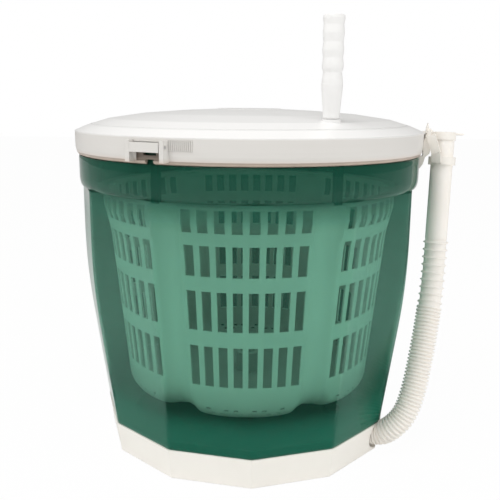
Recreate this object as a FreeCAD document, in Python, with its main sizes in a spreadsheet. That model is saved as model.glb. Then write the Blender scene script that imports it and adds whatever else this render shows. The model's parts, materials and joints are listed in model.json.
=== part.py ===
import FreeCAD, Part
import math
import os
import re

from FreeCAD import Placement, Rotation, Vector

# Hand-cranked laundry tub with a spinning basket: a green twelve-sided tub on a white base,
# a slotted basket on a pivot, a geared crank lid held by three latches, and a drain hose.
# Millimetres, +Z up, +X to the right of the front view (front is -Y). The origin is on the
# floor at the tub's axis. An azimuth is counted from the front (-Y) towards +X, in degrees.

SIZES = [
    # lid
    ("lid_radius", 178.0), ("lid_crease_height", 325.5), ("lid_skirt_drop", 23.2),
    ("lid_curl", 4.6), ("lid_wall", 2.6), ("lid_seam_radius", 161.5), ("lid_seam_height", 332.0),
    ("lid_gap", 0.3), ("deck_thick", 2.8), ("deck_lift", 2.3), ("seam_gap", 0.5),
    ("dome_height", 347.3), ("dome_wall", 2.8), ("disc_lip", 8.1),
    ("cap_radius", 32.6), ("cap_thick", 2.6), ("cap_teeth", 48),
    # latches
    ("latch_width", 29.5), ("latch_reach", 6.0), ("latch_bottom", 313.0), ("latch_top", 321.0),
    ("latch_pin_out", 3.5), ("latch_pin_radius", 1.5), ("latch_pin_height", 317.5),
    ("ear_width", 4.6), ("ear_bottom", 304.6), ("ear_top", 323.0), ("ear_reach", 5.5),
    ("tongue_width", 12.0), ("lug_width", 7.0), ("lug_height", 4.0),
    ("grip_rib_width", 0.9), ("grip_rib_proud", 0.7), ("grip_rib_step", 0.567),
    ("grip_rib_count", 13), ("grip_rib_first", 6.4), ("grip_rib_height", 9.5),
    # crank handle
    ("handle_radius", 138.0), ("handle_azimuth", 29.6), ("handle_top", 427.5),
    ("handle_foot", 340.2), ("handle_girth", 9.35), ("handle_waist", 8.6),
    ("handle_neck", 8.15), ("handle_end", 7.5), ("grip_pin_radius", 4.0),
    # gear train
    ("gear_module", 2.0), ("sun_teeth", 21), ("planet_teeth", 21), ("ring_teeth", 63),
    ("gear_width", 10.0), ("gear_lift", 2.6), ("backlash", 0.22), ("ring_rim", 4.6),
    ("planet_pin_radius", 3.0), ("shaft_radius", 8.0), ("shaft_tip_radius", 4.0),
    ("bush_wall", 4.0), ("running_gap", 0.05), ("seat_gap", 0.02), ("body_gap", 0.3),
    # spinning basket and its drive
    ("basket_turn", -2.5), ("basket_wall", 2.0), ("basket_top", 266.5), ("basket_floor", 58.0),
    ("basket_foot_radius", 122.0), ("basket_low_radius", 130.9), ("basket_mid_radius", 136.6),
    ("basket_high_radius", 145.6), ("basket_rim_radius", 152.0), ("flange_radius", 160.5),
    ("flange_thick", 2.5), ("flute_radius", 21.8), ("flute_depth", 6.0),
    ("slot_share", 0.61), ("slot_step", 5.9), ("hub_radius", 13.0), ("hub_top", 82.0),
    ("pin_radius", 5.0), ("pin_top", 79.0), ("boss_radius", 15.0), ("boss_top", 48.0),
    ("washer_thick", 1.5), ("basket_bush_wall", 3.0),
    ("finger_width", 7.5), ("finger_depth", 5.0), ("finger_radius", 158.0),
    ("arm_width", 12.0), ("spider_thick", 5.0), ("spider_drop", 4.6), ("spider_ring", 8.0),
    # tub
    ("tub_corner_radius", 175.6), ("tub_mid_radius", 169.5), ("tub_foot_radius", 155.2),
    ("tub_straight_from", 225.0), ("tub_curve_to", 135.0), ("tub_curve", 690.0),
    ("tub_wall", 2.5), ("tub_floor_top", 36.5), ("band_radius", 175.0), ("band_bottom", 271.0),
    ("ledge_thick", 3.0), ("rim_step", 3.5), ("rim_wall", 2.8), ("rim_rise", 14.0),
    ("seal_thick", 2.3),
    # base
    ("base_top", 31.6), ("base_top_radius", 155.9), ("base_low_radius", 151.9),
    ("base_wall", 2.6), ("foot_proud", 1.0), ("foot_radius", 9.0), ("foot_thick", 3.0),
    ("foot_circle", 126.0), ("pad_radius", 16.0), ("base_floor", 3.4),
    ("screw_radius", 2.0), ("screw_head", 4.0), ("screw_circle", 95.0),
    # drain and hose
    ("outlet_azimuth", 60.0), ("outlet_height", 17.0), ("sump_circle", 102.0),
    ("elbow_radius", 9.0), ("elbow_bore", 7.0), ("nozzle_face", 120.0), ("nozzle_flange", 11.8),
    ("hose_gap_radius", 14.2), ("hose_crest", 12.6), ("hose_valley", 10.7), ("hose_bore", 9.5),
    ("rib_pitch", 3.65), ("wide_pitch", 7.9), ("wide_ribs", 9), ("cuff", 5.0),
    ("pipe_radius", 11.0), ("pipe_length", 106.5), ("pipe_bore", 9.0),
    ("collar_radius", 13.5), ("collar_height", 8.0), ("collar_up", 76.0),
    ("hose_cap_radius", 12.0), ("hose_cap_skirt", 6.0), ("hose_cap_plate", 2.0),
    ("cap_tab_width", 9.0), ("cap_tab_reach", 19.5),
    ("hook_azimuth", 81.4), ("hook_width", 7.0), ("hook_tip_height", 334.5),
    ("strap_width", 9.5), ("strap_thick", 1.6),
]

doc = FreeCAD.newDocument("laundry_tub")
sheet = doc.addObject("Spreadsheet::Sheet", "Sizes")
NAMES = set()
for row, (alias, value) in enumerate(SIZES, start=1):
    sheet.set("A%d" % row, alias)
    sheet.set("B%d" % row, str(value))
    sheet.setAlias("B%d" % row, alias)
    NAMES.add(alias)
doc.recompute()


def tie(expression):
    """Write the sheet's aliases in an expression with the sheet's name."""
    found = re.sub(r"[a-z][a-z_]+", lambda m: "Sizes." + m[0] if m[0] in NAMES else m[0], str(expression))
    return found


def num(expression):
    """Value of an expression of the sheet's aliases."""
    value = sheet.evalExpression(tie(expression))
    return float(getattr(value, "Value", value))


def bind(thing, prop, expression):
    """Set a property and tie it to the sheet."""
    thing.setExpression(prop, tie(expression))


def put(thing, radius=0, azimuth=0, height=0, turn=None):
    """Place a piece at a radius and azimuth, turned about Z with its azimuth unless told."""
    turned = azimuth if turn is None else turn
    spot = Placement(Vector(0, 0, num(height)), Rotation(Vector(0, 0, 1), num(turned)))
    thing.Placement = spot
    bind(thing, "Placement.Base.x", "(%s) * sin(%s)" % (radius, azimuth))
    bind(thing, "Placement.Base.y", "-(%s) * cos(%s)" % (radius, azimuth))
    bind(thing, "Placement.Base.z", height)
    bind(thing, "Placement.Rotation.Angle", turned)
    return thing


def plane_of(body, role):
    """Origin plane or axis of a body, by its role."""
    return [item for item in body.Origin.OriginFeatures if item.Role == role][0]


def outline(body, role, corners, arcs=None):
    """Closed sketch whose corners, and radii of any arcs, are tied to the sheet."""
    arcs = arcs or {}
    sketch = body.newObject("Sketcher::SketchObject", "Outline")
    sketch.AttachmentSupport = (plane_of(body, role), "")
    sketch.MapMode = "FlatFace"
    spots = [Vector(num(x), num(y), 0) for x, y in corners]
    count = len(spots)
    for index in range(count):
        here = spots[index]
        there = spots[(index + 1) % count]
        if index in arcs:
            middle = bulge(here, there, num(arcs[index][0]), arcs[index][1])
            sketch.addGeometry(Part.Arc(here, middle, there), False)
        else:
            sketch.addGeometry(Part.LineSegment(here, there), False)
    return sketch, spots


def bulge(here, there, radius, side):
    """Middle point of the minor arc of a radius between two points."""
    chord = there - here
    half = chord.Length / 2
    lift = radius - math.sqrt(radius * radius - half * half)
    normal = Vector(-chord.y, chord.x, 0).normalize()
    return (here + there) * 0.5 + normal * lift * side


def end_marks(sketch, index, start):
    """Sketcher point number of an edge's start or end, whichever lies at the given spot."""
    edge = sketch.Geometry[index]
    return 1 if (edge.StartPoint - start).Length < 1e-6 else 2


def drawn(body, role, corners, arcs=None):
    """Sketch as outline(), fully tied: corners join, and each has its two distances."""
    import Sketcher
    arcs = arcs or {}
    sketch, spots = outline(body, role, corners, arcs)
    count = len(spots)
    for index in range(count):
        after = (index + 1) % count
        last = 3 - end_marks(sketch, index, spots[index])
        first = end_marks(sketch, after, spots[after])
        sketch.addConstraint(Sketcher.Constraint("Coincident", index, last, after, first))
    for index in range(count):
        mark = end_marks(sketch, index, spots[index])
        for kind, which, amount in (("DistanceX", 0, spots[index].x), ("DistanceY", 1, spots[index].y)):
            number = sketch.addConstraint(Sketcher.Constraint(kind, -1, 1, index, mark, amount))
            bind(sketch, "Constraints[%d]" % number, corners[index][which])
        if index in arcs:
            number = sketch.addConstraint(Sketcher.Constraint("Radius", index, num(arcs[index][0])))
            bind(sketch, "Constraints[%d]" % number, arcs[index][0])
    return sketch


def turned(label, corners, arcs=None):
    """Body turned about its own Z from an outline of (radius, height) corners."""
    body = doc.addObject("PartDesign::Body", label)
    body.Label = label
    sketch = drawn(body, "XZ_Plane", corners, arcs)
    feature = body.newObject("PartDesign::Revolution", "Turned")
    feature.Profile = sketch
    feature.ReferenceAxis = (sketch, ["V_Axis"])
    feature.Angle = 360
    body.Tip = feature
    return body


def padded(label, corners, length, role="XY_Plane", both=False, arcs=None):
    """Body padded from an outline, upwards or to both sides of its plane."""
    body = doc.addObject("PartDesign::Body", label)
    body.Label = label
    sketch = drawn(body, role, corners, arcs)
    feature = body.newObject("PartDesign::Pad", "Padded")
    feature.Profile = sketch
    if both:
        feature.Midplane = True
    feature.Length = num(length)
    bind(feature, "Length", length)
    body.Tip = feature
    return body


def rod(label, radius, length):
    """Cylinder tied to the sheet."""
    piece = doc.addObject("Part::Cylinder", label)
    piece.Label = label
    bind(piece, "Radius", radius)
    bind(piece, "Height", length)
    return piece


def block(label, depth, width, height):
    """Box tied to the sheet: depth along its X, width along its Y."""
    piece = doc.addObject("Part::Box", label)
    piece.Label = label
    bind(piece, "Length", depth)
    bind(piece, "Width", width)
    bind(piece, "Height", height)
    return piece


def sector_block(label, near, far, low_side, high_side, bottom, top, azimuth):
    """Box from radius near to far and from one tangential side to the other, at an azimuth."""
    wide = "(%s) - (%s)" % (high_side, low_side)
    deep = "(%s) - (%s)" % (far, near)
    piece = block(label, wide, deep, "(%s) - (%s)" % (top, bottom))
    piece.Placement = Placement(Vector(0, 0, 0), Rotation(Vector(0, 0, 1), num(azimuth)))
    bind(piece, "Placement.Base.x", "(%s) * cos(%s) + (%s) * sin(%s)" % (low_side, azimuth, far, azimuth))
    bind(piece, "Placement.Base.y", "(%s) * sin(%s) - (%s) * cos(%s)" % (low_side, azimuth, far, azimuth))
    bind(piece, "Placement.Base.z", bottom)
    bind(piece, "Placement.Rotation.Angle", azimuth)
    return piece


def fused(label, pieces):
    """Union of several pieces."""
    whole = doc.addObject("Part::MultiFuse", label)
    whole.Label = label
    whole.Shapes = pieces
    whole.Refine = True
    return whole


def shared(label, pieces):
    """Space that several pieces have in common."""
    whole = doc.addObject("Part::MultiCommon", label)
    whole.Label = label
    whole.Shapes = pieces
    whole.Refine = True
    return whole


def cut(label, base, tool):
    """Base with the tool taken away."""
    whole = doc.addObject("Part::Cut", label)
    whole.Label = label
    whole.Base = base
    whole.Tool = tool
    whole.Refine = True
    return whole


def cut_all(label, base, tools):
    """Base with several tools taken away."""
    return cut(label, base, tools[0] if len(tools) == 1 else fused(label + "_tools", tools))


def made(label, shape):
    """Piece whose shape is worked out from the sheet's values."""
    piece = doc.addObject("Part::Feature", label)
    piece.Label = label
    piece.Shape = shape
    return piece


def along(label_radius_length, start, direction):
    """Rod from a point along a direction, both worked out from the sheet."""
    label, radius, length = label_radius_length
    piece = rod(label, radius, length)
    piece.Placement = Placement(start, Rotation(Vector(0, 0, 1), direction))
    return piece


KEPT = []


def keep(piece, label):
    """Name a finished sub-part and list it for writing."""
    piece.Label = label
    KEPT.append((label, piece))
    return piece


FACETS = 12
FLAT = "cos(15)"
CORNER_AZIMUTHS = [30 * step for step in range(FACETS)]
LATCH_AZIMUTHS = [-30, 90, 210]
LID_BOTTOM = "(lid_crease_height - lid_skirt_drop)"
DECK_BOTTOM = "(%s + rim_rise + seal_thick + lid_gap)" % "(lid_crease_height - lid_skirt_drop - lid_gap)"
SHOULDER = "(lid_crease_height - lid_skirt_drop - lid_gap)"
RIM_TOP = "(%s + rim_rise)" % SHOULDER
RIM_OUTER = "(band_radius - rim_step)"
RIM_INNER = "(band_radius - rim_step - rim_wall)"
DECK_TOP = "(%s + deck_thick)" % DECK_BOTTOM


def twelve_sided(label, corners, arcs=None):
    """Twelve-sided solid: the space shared by six flat slabs of one outline."""
    slabs = []
    for step in range(FACETS // 2):
        slab = padded("%s_slab_%d" % (label, step + 1), corners, "4 * band_radius", "XZ_Plane", True, arcs)
        slab.Placement = Placement(Vector(0, 0, 0), Rotation(Vector(0, 0, 1), 15 + 30 * step - 90))
        slabs.append(slab)
    return shared(label, slabs)


def tub_outline(inset, low, high):
    """Right and left edges of a slab of the tub: upright, curved, then straight to the foot."""
    slope = "((tub_mid_radius - tub_foot_radius) * %s / (tub_curve_to - base_top))" % FLAT
    foot = "(tub_foot_radius * %s - %s + (%s - base_top) * %s)" % (FLAT, inset, low, slope)
    middle = "(tub_mid_radius * %s - %s)" % (FLAT, inset)
    top = "(tub_corner_radius * %s - %s)" % (FLAT, inset)
    right = [(foot, low), (middle, "tub_curve_to"), (top, "tub_straight_from"), (top, high)]
    left = [("-" + x, z) for x, z in reversed(right)]
    radius = "(tub_curve - %s)" % inset
    return right + left, {1: (radius, -1), 5: (radius, -1)}


# ---- tub -------------------------------------------------------------------------------
corners, arcs = tub_outline("0", "base_top", "band_bottom + 1")
tub_body = twelve_sided("tub_outside", corners, arcs)
corners, arcs = tub_outline("tub_wall", "tub_floor_top", "band_bottom + ledge_thick")
tub_hollow = twelve_sided("tub_inside", corners, arcs)
band = turned("tub_band", [
    ("0", "band_bottom"), ("band_radius - 2.8", "band_bottom"), ("band_radius - 1.4", "band_bottom + 1.5"),
    ("band_radius - 0.4", "band_bottom + 5"), ("band_radius", "band_bottom + 10"),
    ("band_radius", SHOULDER), (RIM_OUTER, SHOULDER), (RIM_OUTER, RIM_TOP), ("0", RIM_TOP)])
band_hollow = turned("tub_band_inside", [
    ("0", "band_bottom + ledge_thick - 0.5"), ("band_radius - 3", "band_bottom + ledge_thick - 0.5"),
    ("band_radius - 3", SHOULDER + " - 5"), (RIM_INNER, SHOULDER + " - 1.5"), (RIM_INNER, RIM_TOP + " + 5"),
    ("0", RIM_TOP + " + 5")])
tub_cup = cut_all("tub_cup", fused("tub_solid", [tub_body, band]), [tub_hollow, band_hollow])
boss = put(rod("pivot_boss", "boss_radius", "boss_top - base_top"), height="base_top")
lugs = []
for number, azimuth in enumerate(LATCH_AZIMUTHS, start=1):
    lugs.append(sector_block("lug_%d" % number, RIM_OUTER + " - 1", "band_radius + 0.2", "-lug_width / 2",
                             "lug_width / 2", SHOULDER + " - 1", SHOULDER + " + lug_height", str(azimuth)))
hose_start = Vector(num("nozzle_face * sin(outlet_azimuth)"), -num("nozzle_face * cos(outlet_azimuth)"),
                    num("outlet_height"))
out_way = Vector(num("sin(outlet_azimuth)"), -num("cos(outlet_azimuth)"), 0)
bend_spot = hose_start + out_way * 33.4
hole_level = along(("hose_hole", "hose_gap_radius", "60"), hose_start, out_way)
hole_rising = along(("hose_notch", "hose_gap_radius", "40"), bend_spot, out_way * 0.8 + Vector(0, 0, 0.6))
hose_way = fused("hose_way", [hole_level, hole_rising])
pin_hole = put(rod("pin_hole", "pin_radius + seat_gap", "60"), height="base_floor")
sump_hole = put(rod("sump_hole", "elbow_radius + seat_gap", "60"), "sump_circle", "outlet_azimuth", "base_floor + 6")
tub = cut_all("tub_cut", fused("tub_with_boss", [tub_cup, boss] + lugs), [hose_way, pin_hole, sump_hole])
keep(tub, "tub_shell")
seal = cut("rim_seal_cut", put(rod("seal_disc", RIM_OUTER, "seal_thick"), height=RIM_TOP),
           put(rod("seal_hole", RIM_INNER, "seal_thick + 2"), height=RIM_TOP + " - 1"))
keep(seal, "rim_seal")

# ---- base ------------------------------------------------------------------------------
LOW = "base_low_radius * " + FLAT
TOP = "base_top_radius * " + FLAT


def base_outline(inset, low):
    """Edges of a slab of the base, wider at its top."""
    slope = "((%s - %s) / (base_top - foot_proud))" % (TOP, LOW)
    low_side = "(%s - %s + (%s - foot_proud) * %s)" % (LOW, inset, low, slope)
    top_side = "(%s - %s)" % (TOP, inset)
    return [(low_side, low), (top_side, "base_top"), ("-" + top_side, "base_top"), ("-" + low_side, low)]


base_body = twelve_sided("base_outside", base_outline("0", "foot_proud"))
base_hollow = twelve_sided("base_inside", base_outline("base_wall", "foot_proud + base_floor"))
tools = [base_hollow, hose_way]
pads = []
for number, azimuth in enumerate(CORNER_AZIMUTHS[::2], start=1):
    tools.append(put(rod("foot_seat_%d" % number, "foot_radius + 0.2", "foot_thick"), "foot_circle", azimuth, "0"))
    foot = put(rod("rubber_foot_%d" % number, "foot_radius", "foot_thick"), "foot_circle", azimuth, "0")
    pads.append(keep(foot, "rubber_foot_%d" % number))
tools.append(put(rod("pad_seat", "pad_radius + 0.2", "foot_thick"), height="0"))
keep(put(rod("centre_pad", "pad_radius", "foot_thick"), height="0"), "centre_pad")
posts = []
for number, azimuth in enumerate((0, 120, 240), start=1):
    posts.append(put(rod("screw_post_%d" % number, "screw_head + 2.5", "base_top - foot_proud - 1"),
                     "screw_circle", azimuth, "foot_proud + 1"))
    tools.append(put(rod("screw_way_%d" % number, "screw_radius + seat_gap", "base_top"), "screw_circle", azimuth, "0"))
    tools.append(put(rod("head_way_%d" % number, "screw_head + 0.3", "4"), "screw_circle", azimuth, "0"))
base_tray = cut_all("base_tray", base_body, tools[:2])
base = cut_all("base_cut", fused("base_with_posts", [base_tray] + posts), tools[2:])
keep(base, "base_shell")
for number, azimuth in enumerate((0, 120, 240), start=1):
    head = put(rod("head_%d" % number, "screw_head", "2.4"), "screw_circle", azimuth, "1.6")
    shank = put(rod("shank_%d" % number, "screw_radius", "base_top - 4.6"), "screw_circle", azimuth, "4")
    slot = put(block("drive_slot_%d" % number, "1.2", "5", "1.2"), "screw_circle", azimuth, "1")
    keep(cut("screw_cut_%d" % number, fused("screw_%d" % number, [head, shank]), slot), "base_screw_%d" % number)

# ---- pivot -----------------------------------------------------------------------------
keep(put(rod("pivot", "pin_radius", "pin_top - base_top"), height="base_top + 0.2"), "pivot_pin")
washer = cut("washer_cut", put(rod("washer_disc", "boss_radius - 2", "washer_thick"), height="boss_top"),
             put(rod("washer_hole", "pin_radius + 0.3", "10"), height="boss_top - 1"))
keep(washer, "thrust_washer")
HUB_FOOT = "(boss_top + washer_thick + body_gap)"
bush = cut("bush_cut", put(rod("bush_rod", "pin_radius + basket_bush_wall", "hub_top - 3 - " + HUB_FOOT), height=HUB_FOOT),
           put(rod("bush_bore", "pin_radius + running_gap", "60"), height="boss_top - 5"))
keep(bush, "basket_bush")

# ---- drain -----------------------------------------------------------------------------
riser = put(rod("drain_riser", "elbow_radius", "tub_floor_top - outlet_height"), "sump_circle", "outlet_azimuth",
            "outlet_height")
knee = doc.addObject("Part::Sphere", "drain_knee")
bind(knee, "Radius", "elbow_radius")
put(knee, "sump_circle", "outlet_azimuth", "outlet_height")
sump_spot = out_way * num("sump_circle") + Vector(0, 0, num("outlet_height"))
spout = along(("drain_spout", "elbow_radius", "nozzle_face - sump_circle"), sump_spot, out_way)
collar = put(rod("floor_collar", "elbow_radius + 4", "2.4"), "sump_circle", "outlet_azimuth", "base_top - 2.4")
flange = along(("nozzle_collar", "nozzle_flange", "2.6"), hose_start - out_way * 2.6, out_way)
riser_bore = put(rod("riser_bore", "elbow_bore", "60"), "sump_circle", "outlet_azimuth", "outlet_height")
knee_bore = doc.addObject("Part::Sphere", "knee_bore")
bind(knee_bore, "Radius", "elbow_bore")
put(knee_bore, "sump_circle", "outlet_azimuth", "outlet_height")
spout_bore = along(("spout_bore", "elbow_bore", "60"), sump_spot, out_way)
elbow = cut_all("elbow_cut", fused("elbow_solid", [riser, knee, spout, collar, flange]),
                [riser_bore, knee_bore, spout_bore])
keep(elbow, "drain_elbow")

# ---- basket ----------------------------------------------------------------------------
FLUTES = [30 + 60 * step for step in range(6)]
PANELS = [60 * step for step in range(6)]
SLOT_ROWS = [(92.5, 133.0), (148.5, 187.0), (201.0, 230.0), (242.0, 262.5)]


def basket_outline(inset, low):
    """Half outline of the basket, drawn in by a wall."""
    inner = [("0", low), ("basket_foot_radius - " + inset, low),
             ("basket_low_radius - 1.7 - " + inset, "basket_floor + 10"),
             ("basket_low_radius - " + inset, "basket_floor + 19"),
             ("basket_mid_radius - " + inset, "135"),
             ("basket_high_radius - " + inset, "224"),
             ("basket_rim_radius - 2 - " + inset, "244"),
             ("basket_rim_radius - " + inset, "250"),
             ("basket_rim_radius - " + inset, "basket_top"), ("0", "basket_top")]
    return inner


def flute_rods(label, inset):
    """Six tilted rods that scoop the flutes, or leave the wall behind them."""
    rods = []
    high = num("basket_high_radius + flute_radius - flute_depth")
    low = num("basket_low_radius + flute_radius - flute_depth")
    for number, azimuth in enumerate(FLUTES, start=1):
        angle = math.radians(azimuth + num("basket_turn"))
        out = Vector(math.sin(angle), -math.cos(angle), 0)
        foot = out * (low - 0.3) + Vector(0, 0, num("basket_floor") + 12)
        head = out * high + Vector(0, 0, 224)
        rise = (head - foot).normalize()
        rods.append(along(("%s_%d" % (label, number), "flute_radius + " + inset, "260"), foot - rise * 6, rise))
    return rods


basket_solid = cut_all("basket_fluted", turned("basket_outside", basket_outline("0", "basket_floor")),
                       flute_rods("flute", "0"))
basket_void = cut_all("basket_void", turned("basket_inside", basket_outline("basket_wall", "basket_floor + 2.5")),
                      flute_rods("flute_wall", "basket_wall"))
hub = put(rod("basket_hub", "hub_radius", "hub_top - " + HUB_FOOT), height=HUB_FOOT)
basket_cup = cut("basket_cup", basket_solid, basket_void)
slot_tools = []
for panel in PANELS:
    for column in range(8):
        azimuth = panel + (column - 3.5) * num("slot_step") + num("basket_turn")
        for bottom, top in SLOT_ROWS:
            radius = num("basket_low_radius") + (bottom - 77) * 0.1
            wide = radius * math.radians(num("slot_step")) * num("slot_share")
            tool = Part.makeBox(30, wide, top - bottom, Vector(radius - 15, -wide / 2, bottom))
            tool.rotate(Vector(0, 0, 0), Vector(0, 0, 1), azimuth - 90)
            slot_tools.append(tool)
slots = made("basket_slots", Part.makeCompound(slot_tools))
drains = []
for step in range(18):
    azimuth = step * 20 + num("basket_turn")
    for radius in (70, 100):
        drains.append(put(rod("floor_drain_%d_%d" % (step, radius), "3", "12"), radius, azimuth, "basket_floor - 4"))
basket_bore = put(rod("basket_bore", "pin_radius + basket_bush_wall + seat_gap", "60"), height="boss_top - 4")
basket_holes = cut_all("basket_holes", fused("basket_with_hub", [basket_cup, hub]), [basket_bore] + drains)
basket = cut("basket_slotted", basket_holes, slots)
keep(basket, "basket_shell")
FLANGE_TOP = "(basket_top + flange_thick)"
flange_ring = turned("flange_ring", [
    ("basket_rim_radius - basket_wall - 2.2", "basket_top"), ("flange_radius", "basket_top"),
    ("flange_radius", FLANGE_TOP), ("basket_rim_radius - basket_wall - 2.2", FLANGE_TOP)])
notches = []
for number, azimuth in enumerate(FLUTES, start=1):
    notches.append(sector_block("drive_notch_%d" % number, "finger_radius - finger_depth / 2 - 1", "flange_radius + 5",
                                "-finger_width / 2 - 1", "finger_width / 2 + 1", "basket_top - 2", FLANGE_TOP + " + 2",
                                "%s + basket_turn" % azimuth))
keep(cut_all("flange_cut", flange_ring, notches), "basket_rim")

# ---- lid -------------------------------------------------------------------------------
SEAM = "lid_seam_radius"
DISC_EDGE = "(lid_seam_radius - seam_gap)"
DOME = [(33.4, 0.5), (70, 2.2), (110, 5.2), (145, 10.3)]
lid_ring = turned("lid_ring", [
    ("lid_radius - lid_curl", LID_BOTTOM), ("lid_radius - lid_curl + 2.2", LID_BOTTOM + " + 1.1"),
    ("lid_radius - 1", LID_BOTTOM + " + 3.7"), ("lid_radius - 0.2", LID_BOTTOM + " + 7.7"),
    ("lid_radius", LID_BOTTOM + " + 11.7"), ("lid_radius", "lid_crease_height"),
    (SEAM + " + 3.5", "lid_seam_height - 0.9"), (SEAM, "lid_seam_height"), (SEAM, DECK_TOP),
    (SEAM + " + 2", DECK_TOP), (SEAM + " + 2", "lid_seam_height - lid_wall - 0.6"),
    ("lid_radius - lid_wall", "lid_crease_height - lid_wall"),
    ("lid_radius - lid_wall", LID_BOTTOM + " + 8"), ("lid_radius - lid_wall - 0.6", LID_BOTTOM + " + 4.4"),
    ("lid_radius - lid_curl", LID_BOTTOM + " + 2.4")])
INNER_WALL = "lid_radius - lid_wall"
PIN_OUT = "(lid_radius + latch_pin_out)"
added = [lid_ring]
removed = []
for number, azimuth in enumerate(LATCH_AZIMUTHS, start=1):
    spot = str(azimuth)
    added.append(sector_block("latch_back_%d" % number, "lid_radius - lid_wall - 3.1", INNER_WALL,
                              "-latch_width / 2 - 2.2", "latch_width / 2 + 2.2", LID_BOTTOM + " + 2",
                              DECK_BOTTOM + " - 0.1", spot))
    for name, low, high in (("left", "-latch_width / 2 - 0.45 - ear_width", "-latch_width / 2 - 0.45"),
                            ("right", "latch_width / 2 + 0.45", "latch_width / 2 + 0.45 + ear_width")):
        added.append(sector_block("ear_%s_%d" % (name, number), INNER_WALL + " - 0.1", "lid_radius + ear_reach",
                                  low, high, "ear_bottom", "ear_top", spot))
    for step in range(int(num("grip_rib_count"))):
        turn = "%s + grip_rib_first + %d * grip_rib_step" % (azimuth, step)
        added.append(sector_block("grip_rib_%d_%d" % (number, step + 1), "lid_radius - 1",
                                  "lid_radius + grip_rib_proud", "-grip_rib_width / 2", "grip_rib_width / 2",
                                  "latch_bottom + 1", "latch_bottom + 1 + grip_rib_height", turn))
    removed.append(sector_block("latch_pocket_%d" % number, INNER_WALL, "lid_radius + 20", "-latch_width / 2 - 0.45",
                                "latch_width / 2 + 0.45", "latch_bottom - 0.4", "latch_top + 0.5", spot))
    removed.append(sector_block("latch_window_%d" % number, INNER_WALL, "lid_radius + 5", "-latch_width / 2 + 1.6",
                                "latch_width / 2 - 1.6", LID_BOTTOM + " + 3.4", "latch_bottom", spot))
    removed.append(sector_block("nose_way_%d" % number, "lid_radius - 12", "lid_radius + 5", "-tongue_width / 2 - 0.6",
                                "tongue_width / 2 + 0.6", "latch_bottom - 3", "latch_bottom + 3.2", spot))
    removed.append(sector_block("lug_way_%d" % number, "lid_radius - 12", "lid_radius + 5", "-lug_width / 2 - 0.6",
                                "lug_width / 2 + 0.6", LID_BOTTOM + " - 2", SHOULDER + " + lug_height + 0.6", spot))
    hole = rod("latch_bore_%d" % number, "latch_pin_radius + seat_gap", "latch_width + 30")
    azimuth_angle = math.radians(azimuth)
    side = Vector(math.cos(azimuth_angle), math.sin(azimuth_angle), 0)
    outwards = Vector(math.sin(azimuth_angle), -math.cos(azimuth_angle), 0)
    half = num("latch_width / 2 + 15")
    centre = outwards * num(PIN_OUT) + Vector(0, 0, num("latch_pin_height"))
    hole.Placement = Placement(centre - side * half, Rotation(Vector(0, 0, 1), side))
    removed.append(hole)
    pin_half = num("latch_width / 2 + 0.45 + ear_width")
    pin = along(("latch_pin_rod_%d" % number, "latch_pin_radius", "latch_width + 0.9 + 2 * ear_width"),
                centre - side * pin_half, side)
    keep(pin, "latch_pin_%d" % number)
    tab = sector_block("tab_%d" % number, "lid_radius - 0.5", "lid_radius + latch_reach", "-latch_width / 2",
                       "latch_width / 2", "latch_bottom", "latch_top", spot)
    tongue = sector_block("tongue_%d" % number, INNER_WALL + " + 0.5", "lid_radius - 0.2", "-tongue_width / 2",
                          "tongue_width / 2", "latch_bottom", "latch_bottom + 2.6", spot)
    nose = sector_block("nose_%d" % number, INNER_WALL + " - 2", "lid_radius - 0.2", "-tongue_width / 2",
                        "tongue_width / 2", "latch_bottom", "latch_bottom + 2.6", spot)
    flap_bore = rod("flap_bore_%d" % number, "latch_pin_radius + running_gap", "latch_width + 30")
    flap_bore.Placement = hole.Placement
    keep(cut("flap_cut_%d" % number, fused("flap_%d" % number, [tab, tongue, nose]), flap_bore), "latch_flap_%d" % number)
lid = cut_all("lid_cut", fused("lid_built", added), removed)
keep(lid, "lid_frame")
deck_disc = put(rod("deck_disc", "lid_radius - lid_wall - 0.1", "deck_thick"), height=DECK_BOTTOM)
deck_hole = put(rod("deck_hole", "shaft_radius + bush_wall + seat_gap", "20"), height=DECK_BOTTOM + " - 5")
RING_OUTER = "(gear_module * ring_teeth / 2 + 2.6 + ring_rim)"
RING_SCREW = "(%s + screw_head + 0.4)" % RING_OUTER
ring_screws = [0, 120, 240]
deck_tools = [deck_hole]
for number, azimuth in enumerate(ring_screws, start=1):
    deck_tools.append(put(rod("deck_screw_way_%d" % number, "screw_radius + seat_gap", "20"), RING_SCREW,
                          azimuth, DECK_BOTTOM + " - 5"))
keep(cut_all("deck_cut", deck_disc, deck_tools), "lid_deck")
bush_body = turned("deck_bush_body", [
    ("shaft_radius + running_gap", DECK_BOTTOM + " - 2"), ("shaft_radius + bush_wall + 3", DECK_BOTTOM + " - 2"),
    ("shaft_radius + bush_wall + 3", DECK_BOTTOM), ("shaft_radius + bush_wall", DECK_BOTTOM),
    ("shaft_radius + bush_wall", DECK_TOP + " + 1"), ("shaft_radius + running_gap", DECK_TOP + " + 1")])
keep(bush_body, "deck_bush")

# ---- gears -----------------------------------------------------------------------------
PRESSURE = math.radians(20)
GEAR_BOTTOM = "(%s + gear_lift)" % DECK_TOP


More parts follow.
